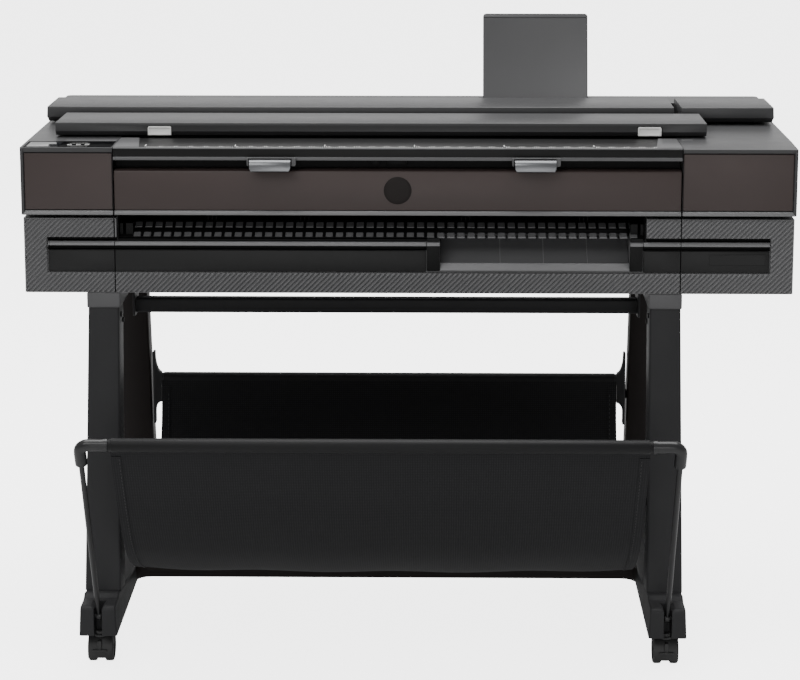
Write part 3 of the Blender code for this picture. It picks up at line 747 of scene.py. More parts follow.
def addRamp():
    # the ramp that the print slides down, with two rows of raised tiles to keep wet ink off it
    x = (output["slot"][0] + 0.0006, output["slot"][1] - 0.0006)
    outline = [
        (0.0085, 0.7066), (0.0950, 0.7066), (0.0950, 0.7410), (0.0850, 0.7410), (0.0085, 0.7090),
    ]
    ramp = drawn("outputRamp", outline, x)
    cutBox(ramp, (0.052, 0.379), (-0.01, 0.0835), (0.700, 0.7215))
    settle(ramp, "root", "blackAbs", ["output_ramp"], 0)
    rise = (0.7410 - 0.7090) / (0.0850 - 0.0085)
    rows = []
    for near, far in ((0.014, 0.026), (0.042, 0.056)):
        zNear, zFar = 0.7090 + (near - 0.0085) * rise, 0.7090 + (far - 0.0085) * rise
        tile = drawn(
            "tile",
            [(near, zNear - 0.001), (far, zFar - 0.001), (far, zFar + 0.0014), (near, zNear + 0.0014)],
            (x[0] + 0.026, x[0] + 0.026 + 0.0136),
        )
        upper = lambda vert: vert.co.z > (0.7090 + (vert.co.y - back(0.0085)) * rise) + 0.0005
        for end, move in ((x[0] + 0.026, 0.0013), (x[0] + 0.0396, -0.0013)):
            shift(tile, lambda vert: upper(vert) and abs(vert.co.x - end) < tiny, (move, 0, 0))
        repeatRow(tile, output["tilePitch"], 50)
        rows.append(tile)
    # the tiles take the same lighter colour, painted light that lifts them out of the slot's shade
    settle(joined("rampTiles", rows), "root", "ribAbsPaintedSheen", (), 0)
    walls = []
    for end, sign in ((x[0], 1), (x[1], -1)):
        walls.append(drawn("cheek", [(0.004, 0.7066), (0.094, 0.7066), (0.094, 0.7505), (0.030, 0.7505)],
                           sorted((end, end + sign * 0.002))))
        for offset, width in ((0.0035, 0.005), (0.0135, 0.012)):
            start = end + sign * offset
            walls.append(
                block("guide", sorted((start, start + sign * width)), (0.022, 0.070), (0.712, 0.7335))
            )
    settle(joined("slotCheeks", walls), "root", "blackAbs")
    clusters = []
    for spotX in output["wheelSpots"]:
        clusters.append(
            soften(
                block("bracket", (spotX - 0.011, spotX + 0.011), (0.040, 0.090), (0.7435, 0.7500)), 0.0008, 1
            )
        )
        for offset in (-0.007, 0, 0.007):
            clusters.append(
                cylinder("starWheel", (spotX + offset, back(0.046), 0.7395), 0.0055, 0.0014, "X", 16)
            )
    settle(joined("starWheels", clusters), "root", "blackAbs")


addLowerBox()
addOutputTrim()
addRamp()
print("lower box is done")


# upper box: end housings, front panel, touch panel


housing = {
    "half": 0.6585,
    "bottom": 0.751,
    "deck": 0.867,
    "depth": 0.440,
    "cornerRadius": 0.0052,
    "rim": 0.0078,
    "rimDepth": 0.0042,
    "panel": (0.759, 0.858),
    "crease": 0.091,
    "creaseDrop": 0.0016,
}


def endHousing(name, outer, seam):
    # a shell whose front has a mitred, sloping rim round a sunken panel
    sign = 1 if outer > seam else -1
    rim = housing["rim"]
    piece = block(name, sorted((outer, seam)), (0, housing["depth"]), (housing["bottom"], housing["deck"]))
    bevelEdges(piece, edgeAlong((0, 0, 1), x=(outer, outer)), housing["cornerRadius"], 5)
    inset(piece, facing((0, -1, 0), y=(front, front)), rim)
    innerOuter = outer - sign * (housing["cornerRadius"] + rim)
    innerSeam = seam + sign * rim
    atFront = (front, front)
    inside = sorted((innerOuter, innerSeam))
    shift(
        piece, within(x=inside, y=atFront, z=(housing["bottom"] + 0.003, housing["deck"] - 0.003)),
        (0, housing["rimDepth"], 0)
    )
    sunk = (back(housing["rimDepth"]),) * 2
    shift(piece, within(x=(innerSeam, innerSeam), y=sunk), (-sign * (rim - 0.0009), 0, 0))
    shift(piece, within(x=(innerOuter, innerOuter), y=sunk), (sign * (rim - 0.0015), 0, 0))
    shift(piece, within(y=sunk, z=(0.855, 0.8635)), (0, 0, -0.0014))
    inset(piece, facing((0, -1, 0), y=sunk), 0.0003, -0.003)
    score(piece, facing((0, 0, 1), z=(housing["deck"],) * 2), "Y", [back(housing["crease"])])
    if sign > 0:
        lowered = within(y=(front - 0.001, back(0.012)), z=(housing["deck"] - tiny, housing["deck"] + tiny))
        shift(piece, lowered, (0, 0, -housing["creaseDrop"]))
    soften(piece, 0.0011, 3, 25)
    return piece


def addHousings():
    half = housing["half"]
    left, right = cover["seams"]
    leftEnd = endHousing("endHousingLeft", -half, left - 0.0010)
    cutBox(leftEnd, (-0.653, -0.503), (0.0035, 0.0745), (0.8611, 0.880))
    cutBox(leftEnd, (-0.6545, -0.490), (0.012, 0.4365), (0.7550, 0.857))
    settle(leftEnd, "root", "darkAbs", ["upper_left"])
    rightEnd = endHousing("endHousingRight", half, right + 0.0010)
    cutBox(rightEnd, (0.472, 0.646), (-0.01, 0.165), (0.763, 0.8535))
    cutBox(rightEnd, (0.455, 0.654), (0.169, 0.430), (0.756, 0.857))
    settle(rightEnd, "root", "darkAbs", ["upper_right"])
    low, high = housing["panel"]
    for name, x, body, node in (
        ("taupePanelLeft", (-0.6514, left - 0.0020), "root", "left_front_panel"),
        ("inkDoor", (right + 0.0020, 0.6514), "ink_door", "ink_door"),
    ):
        plate = block(name, x, (0.0030, 0.0060), (low + 0.0012, high - 0.0012))
        bevelEdges(plate, edgeAlong((0, 1, 0)), 0.0015, 3)
        soften(plate, 0.0009, 3)
        if body == "ink_door":
            lining = block(
                "doorLining", (x[0] + 0.012, x[1] - 0.012), (0.0058, 0.0075), (low + 0.006, high - 0.010)
            )
            inset(lining, facing((0, 1, 0)), 0.006, -0.001)
            soften(lining, 0.0005, 1)
            plate = joined(name, [plate, lining])
        settle(plate, body, "taupe", [node])
    plates = []
    for x, depth in (((-0.6525 + 0.062, -0.5035), (0.0765, 0.0885)), ((0.470, 0.4905), (0.094, 0.104))):
        plates.append(soften(block("deckPlate", x, depth, (0.8660, 0.8680)), 0.0005, 2))
    settle(joined("deckPlates", plates), "root", "deckCoatAndLipHighlight")


frontPanel = {
    "top": 0.828,
    "bottom": 0.759,
    "shelfDepth": 0.036,
    "badge": (-0.018, 0.794),
    "badgeRadius": 0.0235,
    "blocks": ((-0.0625, -0.0500), (-0.0360, -0.0030)),
}


def addLowerRims():
    # a convex bead along the foot of the whole front, in the lighter trim colour that paints the highlight it
    # catches
    half, low = housing["half"], housing["panel"][0]
    left, right = cover["seams"]
    beads = []
    for x, tips in (
        ((-half + 0.0030, left - 0.0012), (0.0072, 0)), ((left + 0.0012, right - 0.0012), (0, 0)),
        ((right + 0.0012, half - 0.0030), (0, 0.0072))
    ):
        outline = [
            (0.0002, 0.7514), (-0.0002, 0.7528), (0.0006, 0.7556), (0.0030, low - 0.0004),
            (0.0046, low - 0.0002), (0.0046, 0.7514)
        ]
        bead = drawn("bead", outline, x)
        shift(bead, within(x=(x[0], x[0]), z=(0.7550, 0.7600)), (tips[0] * 0.5, 0, 0))
        shift(bead, within(x=(x[1], x[1]), z=(0.7550, 0.7600)), (-tips[1] * 0.5, 0, 0))
        beads.append(soften(bead, 0.0005, 2, 20))
    settle(joined("lowerRims", beads), "root", "trimWithPaintedHighlight", (), 50)


def addFrontPanel():
    left, right = cover["seams"]
    x = (left + 0.0012, right - 0.0012)
    top, low = frontPanel["top"], frontPanel["bottom"]
    outline = [
        (0.0036, low + 0.0008), (0.0036, top - 0.004), (0.0048, top - 0.0012), (0.0076, top),
        (frontPanel["shelfDepth"], top + 0.0012), (frontPanel["shelfDepth"], 0.822), (0.0085, 0.822),
        (0.0085, low + 0.0008),
    ]
    settle(soften(drawn("frontPanel", outline, x), 0.0008, 3, 40), "root", "taupe", ["front_panel"])
    rim = drawn("lowerRim", [(0.0040, 0.7512), (0.0040, low), (0.030, low), (0.030, 0.7512)], x)
    soften(rim, 0.0006, 2)
    wall = drawn("recessWall", [(0.0362, 0.822), (0.0362, 0.8453), (0.0400, 0.8453), (0.0400, 0.822)], x)
    settle(rim, "root", "darkAbs")
    parts = [wall]
    for span in frontPanel["blocks"]:
        parts.append(soften(block("recessBlock", span, (0.026, 0.0364), (0.8335, 0.8435)), 0.0008, 2))
    settle(joined("recessWall", parts), "root", "blackAbs")
    badgeX, badgeZ = frontPanel["badge"]
    radius = frontPanel["badgeRadius"]
    profile = [
        (0, 0.0016), (radius * 0.72, 0.0014), (radius * 0.9, 0.0010), (radius, 0.0001), (radius, -0.0022),
        (0, -0.0022)
    ]
    badge = turned("blankBadge", profile, (badgeX, back(0.0030), badgeZ), "Y", 64)
    settle(badge, "root", "warmCoat")


touch = {
    "plate": ((-0.6524, -0.5036), (0.0041, 0.0739), (0.8616, 0.8668)),
    "display": ((-0.6480, -0.5930), (0.0100, 0.0640)),
    "keys": (-0.578, -0.563, -0.548),
    "button": (-0.5150, 0.0600),
}


def addTouchPanel():
    x, depth, z = touch["plate"]
    plate = block("touchPanel", x, depth, z)
    bevelEdges(plate, edgeAlong((0, 0, 1)), 0.004, 4)
    buttonX, buttonDepth = touch["button"]
    soften(plate, 0.0006, 2)
    carve(plate, cylinder("cutter", (buttonX, back(buttonDepth), 0.8740), 0.0062, 0.0200, "Z", 40))
    settle(plate, "root", "polished", ["touch_panel"])
    displayX, displayDepth = touch["display"]
    display = block("displayWindow", displayX, displayDepth, (z[1] - 0.0006, z[1] + 0.0004))
    bevelEdges(display, edgeAlong((0, 0, 1)), 0.002, 3)
    inset(display, facing((0, 0, 1)), 0.0022, -0.0002)
    settle(display, "root", "display")
    marks = []
    for keyX in touch["keys"]:
        deselectAll()
        bpy.ops.mesh.primitive_torus_add(
            location=(keyX, back(0.036), z[1]), major_radius=0.0036, minor_radius=0.00035, major_segments=24,
            minor_segments=6
        )
        marks.append(bpy.context.object)
    for depthSpot in (0.020, 0.052):
        marks.append(
            block(
                "keyLine", (-0.580, -0.545), (depthSpot, depthSpot + 0.0006), (z[1] - 0.0002, z[1] + 0.0002)
            )
        )
    ring = joined("touchKeys", marks)
    pickOnly(ring)
    bpy.ops.object.transform_apply()
    settle(ring, "root", "ink")
    profile = [
        (0, 0.0010), (0.0030, 0.0010), (0.0046, 0.0013), (0.0057, 0.0009), (0.0057, -0.0013), (0, -0.0013)
    ]
    button = turned("powerButton", profile, (buttonX, back(buttonDepth), 0.8664), "Z", 40)
    settle(button, "power_button", "polished", ["power_button"])


addHousings()
addLowerRims()
addFrontPanel()
addTouchPanel()
print("upper box is done")


# scanner: its base with a ruler, the lid with its latches, and the two lifting handles


scanner = {
    "x": (-0.5001, 0.4632),
    "bottom": 0.8456,
    "deck": 0.867,
    "depth": 0.270,
    "plates": ((-0.5001, -0.4560), (0.4190, 0.4632)),
    "inch": 0.0254,
    "rulerStart": -0.447,
    "lid": {"x": (-0.615, 0.516), "front": 0.124, "rear": 0.264, "bottom": 0.870, "top": 0.893},
    "latches": {"Left": (-0.454, -0.4135), "Right": (0.397, 0.438)},
    "handles": {"Left": (-0.273, -0.190), "Right": (0.1755, 0.2573)},
}


def addScannerBase():
    low, deck = scanner["bottom"], scanner["deck"]
    outline = [
        (0.0022, low), (0.0022, deck - 0.0018), (0.0040, deck - 0.0001),
        (0.1180, deck - 0.0001), (0.1210, deck - 0.0040), (0.2660, deck - 0.0040), (0.2660, deck),
        (scanner["depth"], deck),
        (scanner["depth"], low),
    ]
    base = drawn("scannerBase", outline, scanner["x"])
    cutBox(base, (-0.4965, 0.4596), (0.050, 0.262), (0.840, 0.8600))
    settle(soften(base, 0.0005, 2), "scanner", "scannerAbs", ["scanner_base"])
    x = scanner["x"]
    # two thin strips in the lighter deck coat paint the pale band along the foot of the lip and the highlight
    # along its top edge
    band = drawn(
        "lipLightBand",
        [
            (0.0024, low), (0.0002, low), (0.0002, low + 0.0014), (0.0014, low + 0.0054),
            (0.0024, low + 0.0060)
        ],
        x
    )
    soften(band, 0.0004, 1)
    edge = drawn(
        "lipHighlightEdge",
        [
            (0.0024, deck - 0.0024), (0.0012, deck - 0.0024), (0.0010, deck - 0.0012),
            (0.0022, deck - 0.0001), (0.0040, deck + 0.0001), (0.0040, deck - 0.0010)
        ],
        x
    )
    soften(edge, 0.0004, 1)
    settle(joined("scannerLipHighlights", [band, edge]), "scanner", "deckCoatAndLipHighlight")
    bed = block("glassBed", (-0.456, 0.426), (0.150, 0.246), (deck - 0.0042, deck - 0.0012))
    cutBox(bed, (-0.452, 0.422), (0.168, 0.228), (0.860, 0.880))
    settle(soften(bed, 0.0005, 1), "scanner", "blackAbs")
    plates = []
    for x, lean in zip(scanner["plates"], (1, -1)):
        plate = block("endPlate", x, (0.0045, 0.1165), (deck - 0.0006, deck + 0.0009))
        tip = x[1] if lean > 0 else x[0]
        shift(plate, within(x=(tip, tip), y=(back(0.11), back(0.12))), (-lean * 0.012, 0, 0))
        plates.append(soften(plate, 0.0006, 2))
    settle(joined("scannerEndPlates", plates), "scanner", "deckCoatAndLipHighlight")


def addRuler():
    # an inch scale along the front edge, with plain numbers
    deck = scanner["deck"]
    inch, start = scanner["inch"], scanner["rulerStart"]
    level = (deck - 0.0003, deck + 0.00012)
    marks = []
    for spacing, length, count, wide in (
        (inch / 8, 0.0040, 275, 0.0005), (inch, 0.0110, 35, 0.0006), (inch * 6, 0.0300, 6, 0.0006)
    ):
        mark = block("mark", (start - wide, start + wide), (0.0075, 0.0075 + length), level)
        repeatRow(mark, spacing, count)
        marks.append(mark)
    for number in range(1, 35):
        deselectAll()
        bpy.ops.object.text_add(location=(start + number * inch + 0.0014, back(0.0150), level[1] - 0.0001))
        digits = bpy.context.object
        digits.data.body = str(number)
        digits.data.size = 0.0085
        digits.data.resolution_u = 2
        bpy.ops.object.convert(target="MESH")
        bpy.ops.object.transform_apply()
        marks.append(digits)
    settle(joined("ruler", marks), "scanner", "ink", (), 0)


def addLid():
    lid = scanner["lid"]
    near, far, low, high = lid["front"], lid["rear"], lid["bottom"], lid["top"]
    outline = [
        (near + 0.0060, low), (near + 0.0010, low + 0.0066), (near, low + 0.0078), (near, high - 0.0016),
        (near + 0.0005, high - 0.0004),
        (near + 0.0016, high), (far - 0.006, high - 0.0005), (far - 0.0014, high - 0.0022),
        (far, high - 0.006),
        (far, low),
    ]
    piece = drawn("scannerLid", outline, lid["x"])
    cutBox(piece, (-0.612, 0.513), (0.138, 0.258), (0.860, high - 0.003))
    for x in scanner["latches"].values():
        cutBox(piece, (x[0] - 0.0009, x[1] + 0.0009), (0.110, 0.1320), (0.860, 0.8868))
    settle(soften(piece, 0.0007, 2, 40), "scanner_lid", "darkAbs", ["scanner_lid"])
    strip = block("platenStrip", (-0.470, 0.440), (0.160, 0.236), (0.8716, 0.8905))
    inset(strip, facing((0, 0, -1)), 0.006, 0.0006)
    settle(soften(strip, 0.0006, 1), "scanner_lid", "capAbs")
    first, second = scanner["latches"]["Left"], scanner["latches"]["Right"]
    tab = block("lidLatchLeft", first, (0.1222, 0.1270), (0.8712, 0.8862))
    bevelEdges(tab, edgeAlong((0, 1, 0), z=(0.886, 0.887)), 0.0028, 5)
    inset(tab, facing((0, -1, 0)), 0.0021, 0)
    inset(
        tab, facing((0, -1, 0), z=(0.8735, 0.8845), x=(first[0] + 0.002, first[1] - 0.002)), 0.0005, -0.0028
    )
    shift(tab, within(y=(back(0.1245), back(0.1254)), z=(0.8712, 0.8745)), (0, 0, -0.0022))
    soften(tab, 0.0005, 2, 30)
    twin = copyTo(tab, "lidLatchRight", (second[0] - first[0], 0, 0))
    settle(tab, "lid_latch_left", "paleAbs", ["lid_latch_left"])
    settle(twin, "lid_latch_right", "paleAbs", ["lid_latch_right"])


def addHandles():
    # a metal tongue that bends down out of a bracket under the scanner's edge
    outline = [
        (-0.0010, 0.8490), (-0.0105, 0.8478), (-0.0150, 0.8450), (-0.0172, 0.8400), (-0.0178, 0.8340),
        (-0.0184, 0.8300),
        (-0.0178, 0.8288), (-0.0166, 0.8284), (-0.0152, 0.8296), (-0.0148, 0.8340), (-0.0142, 0.8392),
        (-0.0125, 0.8430),
        (-0.0095, 0.8450), (-0.0010, 0.8458),
    ]
    first, second = scanner["handles"]["Left"], scanner["handles"]["Right"]
    tongue = drawn("handleLeft", outline, (first[0] + 0.0045, first[1] - 0.0085))
    for end, sign in ((first[0] + 0.0045, 1), (first[1] - 0.0085, -1)):
        shift(tongue, within(x=(end, end), z=(0.828, 0.8305)), (sign * 0.0030, 0, 0))
        shift(tongue, within(x=(end, end), z=(0.8338, 0.8342)), (sign * 0.0008, 0, 0))
    soften(tongue, 0.0005, 2, 35)
    twin = copyTo(tongue, "handleRight", (second[0] - first[0], 0, 0))
    settle(tongue, "scanner_handle_left", "castGrey", ["scanner_handle_left"], 50)
    settle(twin, "scanner_handle_right", "castGrey", ["scanner_handle_right"], 50)
    brackets = []
    for x in scanner["handles"].values():
        frameBlock = block("bracket", x, (-0.0066, 0.0006), (0.8368, 0.8512))
        bevelEdges(frameBlock, edgeAlong((0, 1, 0), z=(0.836, 0.837)), 0.0025, 3)
        cutBox(frameBlock, (x[0] + 0.0030, x[1] - 0.0070), (-0.03, 0.0004), (0.820, 0.8496))
        brackets.append(soften(frameBlock, 0.0004, 1))
    settle(joined("handleBrackets", brackets), "scanner", "deckCoatAndLipHighlight")


addScannerBase()
addRuler()
addLid()
addHandles()
print("scanner is done")


# covers over the paper roll, and the rear housing with its sheet support


rollCover = {
    "front": 0.292,
    "rear": 0.435,
    "bottom": 0.8715,
    "top": 0.899,
    "spans": {"rollCover": (-0.656, 0.476), "serviceCover": (0.487, 0.655)},
}


def addCovers():
    near, far, low, high = (rollCover[key] for key in ("front", "rear", "bottom", "top"))
    outline = [
        (near + 0.0090, low), (near + 0.0020, low + 0.0068), (near, low + 0.0085), (near, high - 0.0016),
        (near + 0.0005, high - 0.0004), (near + 0.0016, high), (far - 0.007, high),
        (far - 0.002, high - 0.0016),
        (far, high - 0.006), (far, low),
    ]
    for name, x in rollCover["spans"].items():
        piece = drawn(name, outline, x)
        cutBox(piece, (x[0] + 0.004, x[1] - 0.004), (0.3035, 0.424), (0.870, high - 0.004))
        for end, sign in ((x[0], 1), (x[1], -1)):
            shift(piece, within(x=(end, end), z=(low, low + 0.0070)), (sign * 0.0025, 0, 0))
            shift(piece, within(x=(end, end), z=(high - 0.002, high)), (sign * 0.0012, 0, 0))
        soften(piece, 0.0008, 2, 35)
        body = {"rollCover": "roll_cover", "serviceCover": "service_cover"}[name]
        ribs = []
        count = 14 if name == "rollCover" else 2
        for index in range(count):
            spotX = x[0] + (index + 1) * (x[1] - x[0]) / (count + 1)
            ribs.append(
                block(
                    "stiffener", (spotX - 0.0008, spotX + 0.0008), (0.3036, 0.4238),
                    (high - 0.012, high - 0.0038)
                )
            )
        settle(joined(name, [piece] + ribs), body, "darkAbs", [body])


rear = {
    "x": (-0.655, 0.655),
    "depth": (0.4415, 0.548),
    "z": (0.700, 0.888),
    "mouth": ((0.131, 0.336), (0.4680, 0.5060)),
    "seams": (-0.470, 0.4636),
    "vents": {"from": -0.445, "pitch": 0.012, "count": 30, "z": (0.740, 0.772)},
}


def addRear():
    x, depth, z = rear["x"], rear["depth"], rear["z"]
    piece = block("rearHousing", x, depth, z)
    bevelEdges(piece, edgeAlong((0, 0, 1), y=(back(depth[1]),) * 2), 0.010, 5)
    bevelEdges(piece, edgeAlong((1, 0, 0), y=(back(depth[1]),) * 2, z=(z[1], z[1])), 0.008, 5)
    cutBox(piece, (-0.651, 0.651), (0.4455, 0.544), (0.690, 0.884))
    mouthX, mouthDepth = rear["mouth"]
    cutBox(piece, mouthX, mouthDepth, (0.878, 0.898))
    for seam in rear["seams"]:
        cutBox(piece, (seam - 0.0006, seam + 0.0006), (0.5468, 0.560), (0.690, 0.900))
    cutBox(piece, (-0.48, 0.4636), (0.5470, 0.560), (0.8300, 0.8312))
    vents = rear["vents"]
    slit = block("cutter", (vents["from"], vents["from"] + 0.0055), (0.540, 0.560), vents["z"])
    repeatRow(slit, vents["pitch"], vents["count"])
    carve(piece, slit)
    soften(piece, 0.0007, 1, 50)
    profile = [
        (0, 0.0004), (0.0016, 0.0004), (0.0017, 0.0014), (0.0030, 0.0013), (0.0036, 0.0004), (0.0036, -0.001),
        (0, -0.001),
    ]
    toFace = Matrix.Translation((0, back(depth[1]), 0))
    flipped = toFace @ Matrix.Scale(-1, 4, (0, 1, 0)) @ toFace.inverted()
    screws = []
    for spotX in (-0.62, -0.50, -0.20, 0.10, 0.42, 0.50, 0.62):
        for spotZ in (0.712, 0.868):
            screw = turned("screw", profile, (spotX, back(depth[1]), spotZ), "Y", 16)
            screw.data.transform(flipped)
            tidyNormals(screw)
            screws.append(screw)
    settle(piece, "root", "darkAbs", ["rear_housing"])
    settle(joined("rearScrews", screws), "root", "steel")
    mouth = []
    low, high = mouthX
    for span, depths in (((low - 0.004, high + 0.004), (mouthDepth[0] - 0.004, mouthDepth[0])),
                         ((low - 0.004, high + 0.004), (mouthDepth[1], mouthDepth[1] + 0.004)),
                         ((low - 0.004, low), mouthDepth), ((high, high + 0.004), mouthDepth)):
        mouth.append(soften(block("mouthLip", span, depths, (0.8845, 0.8895)), 0.0009, 2))
    settle(joined("supportMouth", mouth), "root", "blackAbs")


support = {
    "x": (0.135, 0.332),
    "foot": (0.4895, 0.862),
    "length": 0.190,
    "thick": 0.005,
    "lean": 15.4,
    "corner": 0.006,
    "lip": 0.0075,
}


def addSheetSupport():
    width = support["x"][1] - support["x"][0]
    thick, length = support["thick"], support["length"]
    deselectAll()
    bpy.ops.mesh.primitive_cube_add(size=1, location=(0, thick / 2, length / 2))
    plate = bpy.context.object
    plate.name = "sheetSupport"
    plate.scale = (width, thick, length)
    bpy.ops.object.transform_apply()
    bevelEdges(plate, edgeAlong((0, 1, 0), z=(length, length)), support["corner"], 5)
    lipLine = length - support["lip"]
    height = lambda face: face.calc_center_median().z
    for level in (lipLine, lipLine - 0.0016):
        choose(plate, "FACE", lambda face: abs(face.normal.y) > 0.95)
        bpy.ops.mesh.bisect(plane_co=(0, 0, level), plane_no=(0, 0, 1))
        leaveEdit()
    inset(plate, lambda face: face.normal.y < -0.95 and height(face) < lipLine - 0.0015, 0.0022, -0.0009)
    push(
        plate, lambda face: face.normal.y < -0.95 and lipLine - 0.0016 < height(face) < lipLine,
        (0, 0.0016, 0)
    )
    inset(plate, lambda face: face.normal.y > 0.95 and height(face) < lipLine - 0.0015, 0.004, -0.0012)
    soften(plate, 0.0005, 2, 35)
    plate.location = (sum(support["x"]) / 2, back(support["foot"][0]), support["foot"][1])
    plate.rotation_euler = (-math.radians(support["lean"]), 0, 0)
    pickOnly(plate)
    bpy.ops.object.transform_apply()
    settle(plate, "sheet_support", "deckCoatAndLipHighlight", ["sheet_support"], 30)


addCovers()
addRear()
addSheetSupport()
print("covers and rear are done")


# stand


stand = {
    "centre": -0.0412,
    "legX": 0.4801,
    "capWidth": 0.057,
    "legTop": 0.053,
    "legBottom": 0.061,
    "widestAt": 0.100,
    "capBottom": 0.590,
    "footWidth": 0.060,
}


def footTop(depth):
    return 0.1165 - (depth + 0.105) * (0.1165 - 0.089) / 0.205 if depth < 0.100 else 0.089


def legHalf(height):
    # half a strut's width, which grows from the cap down
    share = min(max((stand["capBottom"] - height) / (stand["capBottom"] - stand["widestAt"]), 0), 1)
    return (stand["legTop"] + (stand["legBottom"] - stand["legTop"]) * share) / 2

def strut(name, outline, middle):
    half = stand["legTop"] / 2
    piece = drawn(name, outline, (middle - half, middle + half))
    score(piece, anything, "Z", [0.35])
    for vert in piece.data.vertices:
        vert.co.x = middle + (vert.co.x - middle) * legHalf(vert.co.z) / half
    bevelEdges(piece, lambda edge: abs((edge.verts[1].co - edge.verts[0].co).normalized().z) > 0.9, 0.0042, 3)
    return piece


def addLegs():
    for side, sign in (("Left", -1), ("Right", 1)):
        middle = stand["centre"] + sign * stand["legX"]
        low, top = stand["capBottom"], stand["capBottom"] + 0.002
        frontLeg = strut("frontLeg" + side, [
            (0.0015, top), (0.062, top), (-0.026, footTop(-0.026) + 0.0003),
            (-0.090, footTop(-0.090) + 0.0003),
        ], middle)
        settle(frontLeg, "root", "powderCoat", ["leg_" + side.lower()])
        rearLeg = strut("rearLeg" + side, [
            (0.395, top), (0.4435, top), (0.520, 0.0893), (0.470, 0.0893),
        ], middle)
        settle(rearLeg, "root", "warmCoat")
        half = stand["capWidth"] / 2
        cap = block("legCap" + side, (middle - half, middle + half), (0.0, 0.450), (low, 0.6167))
        score(cap, facing((0, -1, 0)), "Z", [low + 0.004])
        # the cap's lighter grey paints the light its upward facing front would catch
        settle(soften(cap, 0.0024, 3), "root", "capAbs")
        # a shallow web joins the two struts under the cap, and bolts hold them
        settle(
            soften(
                block(
                    "legWeb" + side, (middle - 0.018, middle + 0.018), (0.055, 0.400),
                    (low - 0.016, low - 0.0003)
                ),
                0.0015, 2
            ),
            "root", "powderCoat"
        )
        fittings = []
        for depth, height in ((0.020, 0.575), (0.045, 0.560), (0.408, 0.570), (0.430, 0.556)):
            place = (middle - sign * (legHalf(height) + 0.0006), back(depth), height)
            fittings.append(cylinder("bolt", place, 0.0048, 0.003, "X", 12))
        if sign > 0:
            for depth, height in ((-0.022, 0.300), (-0.030, 0.262), (0.452, 0.330)):
                edge = middle - legHalf(height)
                spans = [(value - reach, value + reach) for value, reach in ((depth, 0.009), (height, 0.007))]
                clip = block("cableClip", (edge - 0.007, edge + 0.001), *spans)
                inset(clip, facing((0, 0, 1)), 0.0016, -0.006)
                fittings.append(soften(clip, 0.0007, 2))
        settle(joined("legBolts" + side, fittings), "root", "blackAbs")

def addFeet():
    for side, sign in (("Left", -1), ("Right", 1)):
        middle = stand["centre"] + sign * stand["legX"]
        half = stand["footWidth"] / 2
        outline = [
            (-0.162, 0.058), (0.560, 0.058), (0.560, 0.080), (0.540, 0.089), (0.100, 0.089), (-0.105, 0.1165),
            (-0.118, 0.110), (-0.157, 0.110), (-0.162, 0.105),
        ]
        foot = drawn("foot" + side, outline, (middle - half, middle + half))
        bevelEdges(
            foot,
            lambda edge: abs(
                (edge.verts[1].co - edge.verts[0].co).normalized().x
            ) < 0.1 and spot(edge).z > 0.06,
            0.0035, 3
        )
        bevelEdges(foot, edgeAlong((1, 0, 0), z=(0.104, 0.117), y=(back(-0.163), back(-0.10))), 0.0034, 3)
        for vert in foot.data.vertices:
            if vert.co.y < back(-0.125):
                vert.co.x = middle + (vert.co.x - middle) * (
                    0.990 + 0.080 * min((0.110 - vert.co.z) / 0.052, 1)
                )
        cutBox(foot, (middle - 0.0068, middle + 0.0068), (-0.175, -0.128), (0.050, 0.130))
        notch = block("cutter", (middle - 0.0068, middle + 0.0068), (-0.175, -0.128), (0.1045, 0.130))
        shift(notch, within(z=(0.130, 0.130), x=(middle - 0.01, middle)), (-0.024, 0, 0))
        shift(notch, within(z=(0.130, 0.130), x=(middle, middle + 0.01)), (0.024, 0, 0))
        carve(foot, notch)
        soften(foot, 0.0006, 1, 50)
        pin = cylinder("hingePin", (middle, back(-0.146), 0.089), 0.0032, 0.050, "X", 20)
        settle(joined("foot" + side, [foot, pin]), "root", "powderCoat", ["foot_" + side.lower()])
        cap = block(
            "footCap" + side, (middle - half + 0.004, middle + half - 0.004), (0.5595, 0.5612), (0.061, 0.077)
        )
        inset(cap, facing((0, 1, 0)), 0.003, -0.0008)
        settle(cap, "root", "blackAbs")


def addBeams():
    left = stand["centre"] - stand["legX"]
    right = stand["centre"] + stand["legX"]
    half = stand["capWidth"] / 2
    ends = (left + half + 0.0003, right - half - 0.0003)
    beam = block("upperBeam", ends, (0.186, 0.214), (0.542, 0.568))
    bevelEdges(beam, edgeAlong((1, 0, 0)), 0.004, 3)
    parts = [beam]
    for x in ((ends[0], ends[0] + 0.004), (ends[1] - 0.004, ends[1])):
        plate = block("beamPlate", x, (0.170, 0.230), (0.538, 0.612))
        bevelEdges(plate, edgeAlong((1, 0, 0)), 0.006, 4)
        parts.append(soften(plate, 0.0006, 1))
    for x, sign in ((ends[0] + 0.0048, 1), (ends[1] - 0.0048, -1)):
        for depth, height in ((0.178, 0.600), (0.222, 0.600)):
            parts.append(cylinder("bolt", (x, back(depth), height), 0.0050, 0.0036, "X", 6))
    settle(joined("upperBeam", parts), "root", "powderCoat", ["upper_beam"])

    half = stand["footWidth"] / 2
    start, end = left + half + 0.0003, right - half - 0.0003
    beam = block("lowerBeam", (start, end), (0.150, 0.184), (0.060, 0.088))
    for place in (
        start + 0.026, start + 0.016, start + 0.008, start + 0.0025, end - 0.0025, end - 0.008, end - 0.016,
        end - 0.026
    ):
        score(beam, lambda face: abs(face.normal.x) < 0.5, "X", [place])
    for vert in beam.data.vertices:
        reach = min(vert.co.x - start, end - vert.co.x)
        if reach < 0.026:
            swell = 0.026 - math.sqrt(max(0.026**2 - (0.026 - reach) ** 2, 0))
            vert.co.y += swell if vert.co.y > back(0.167) else -swell
    settle(soften(beam, 0.0022, 2, 50), "root", "warmCoat", ["lower_beam"])


addLegs()
addFeet()
addBeams()
print("stand is done")


# basket: a hinged front frame, a fixed rear bar, and the cloth hung between them


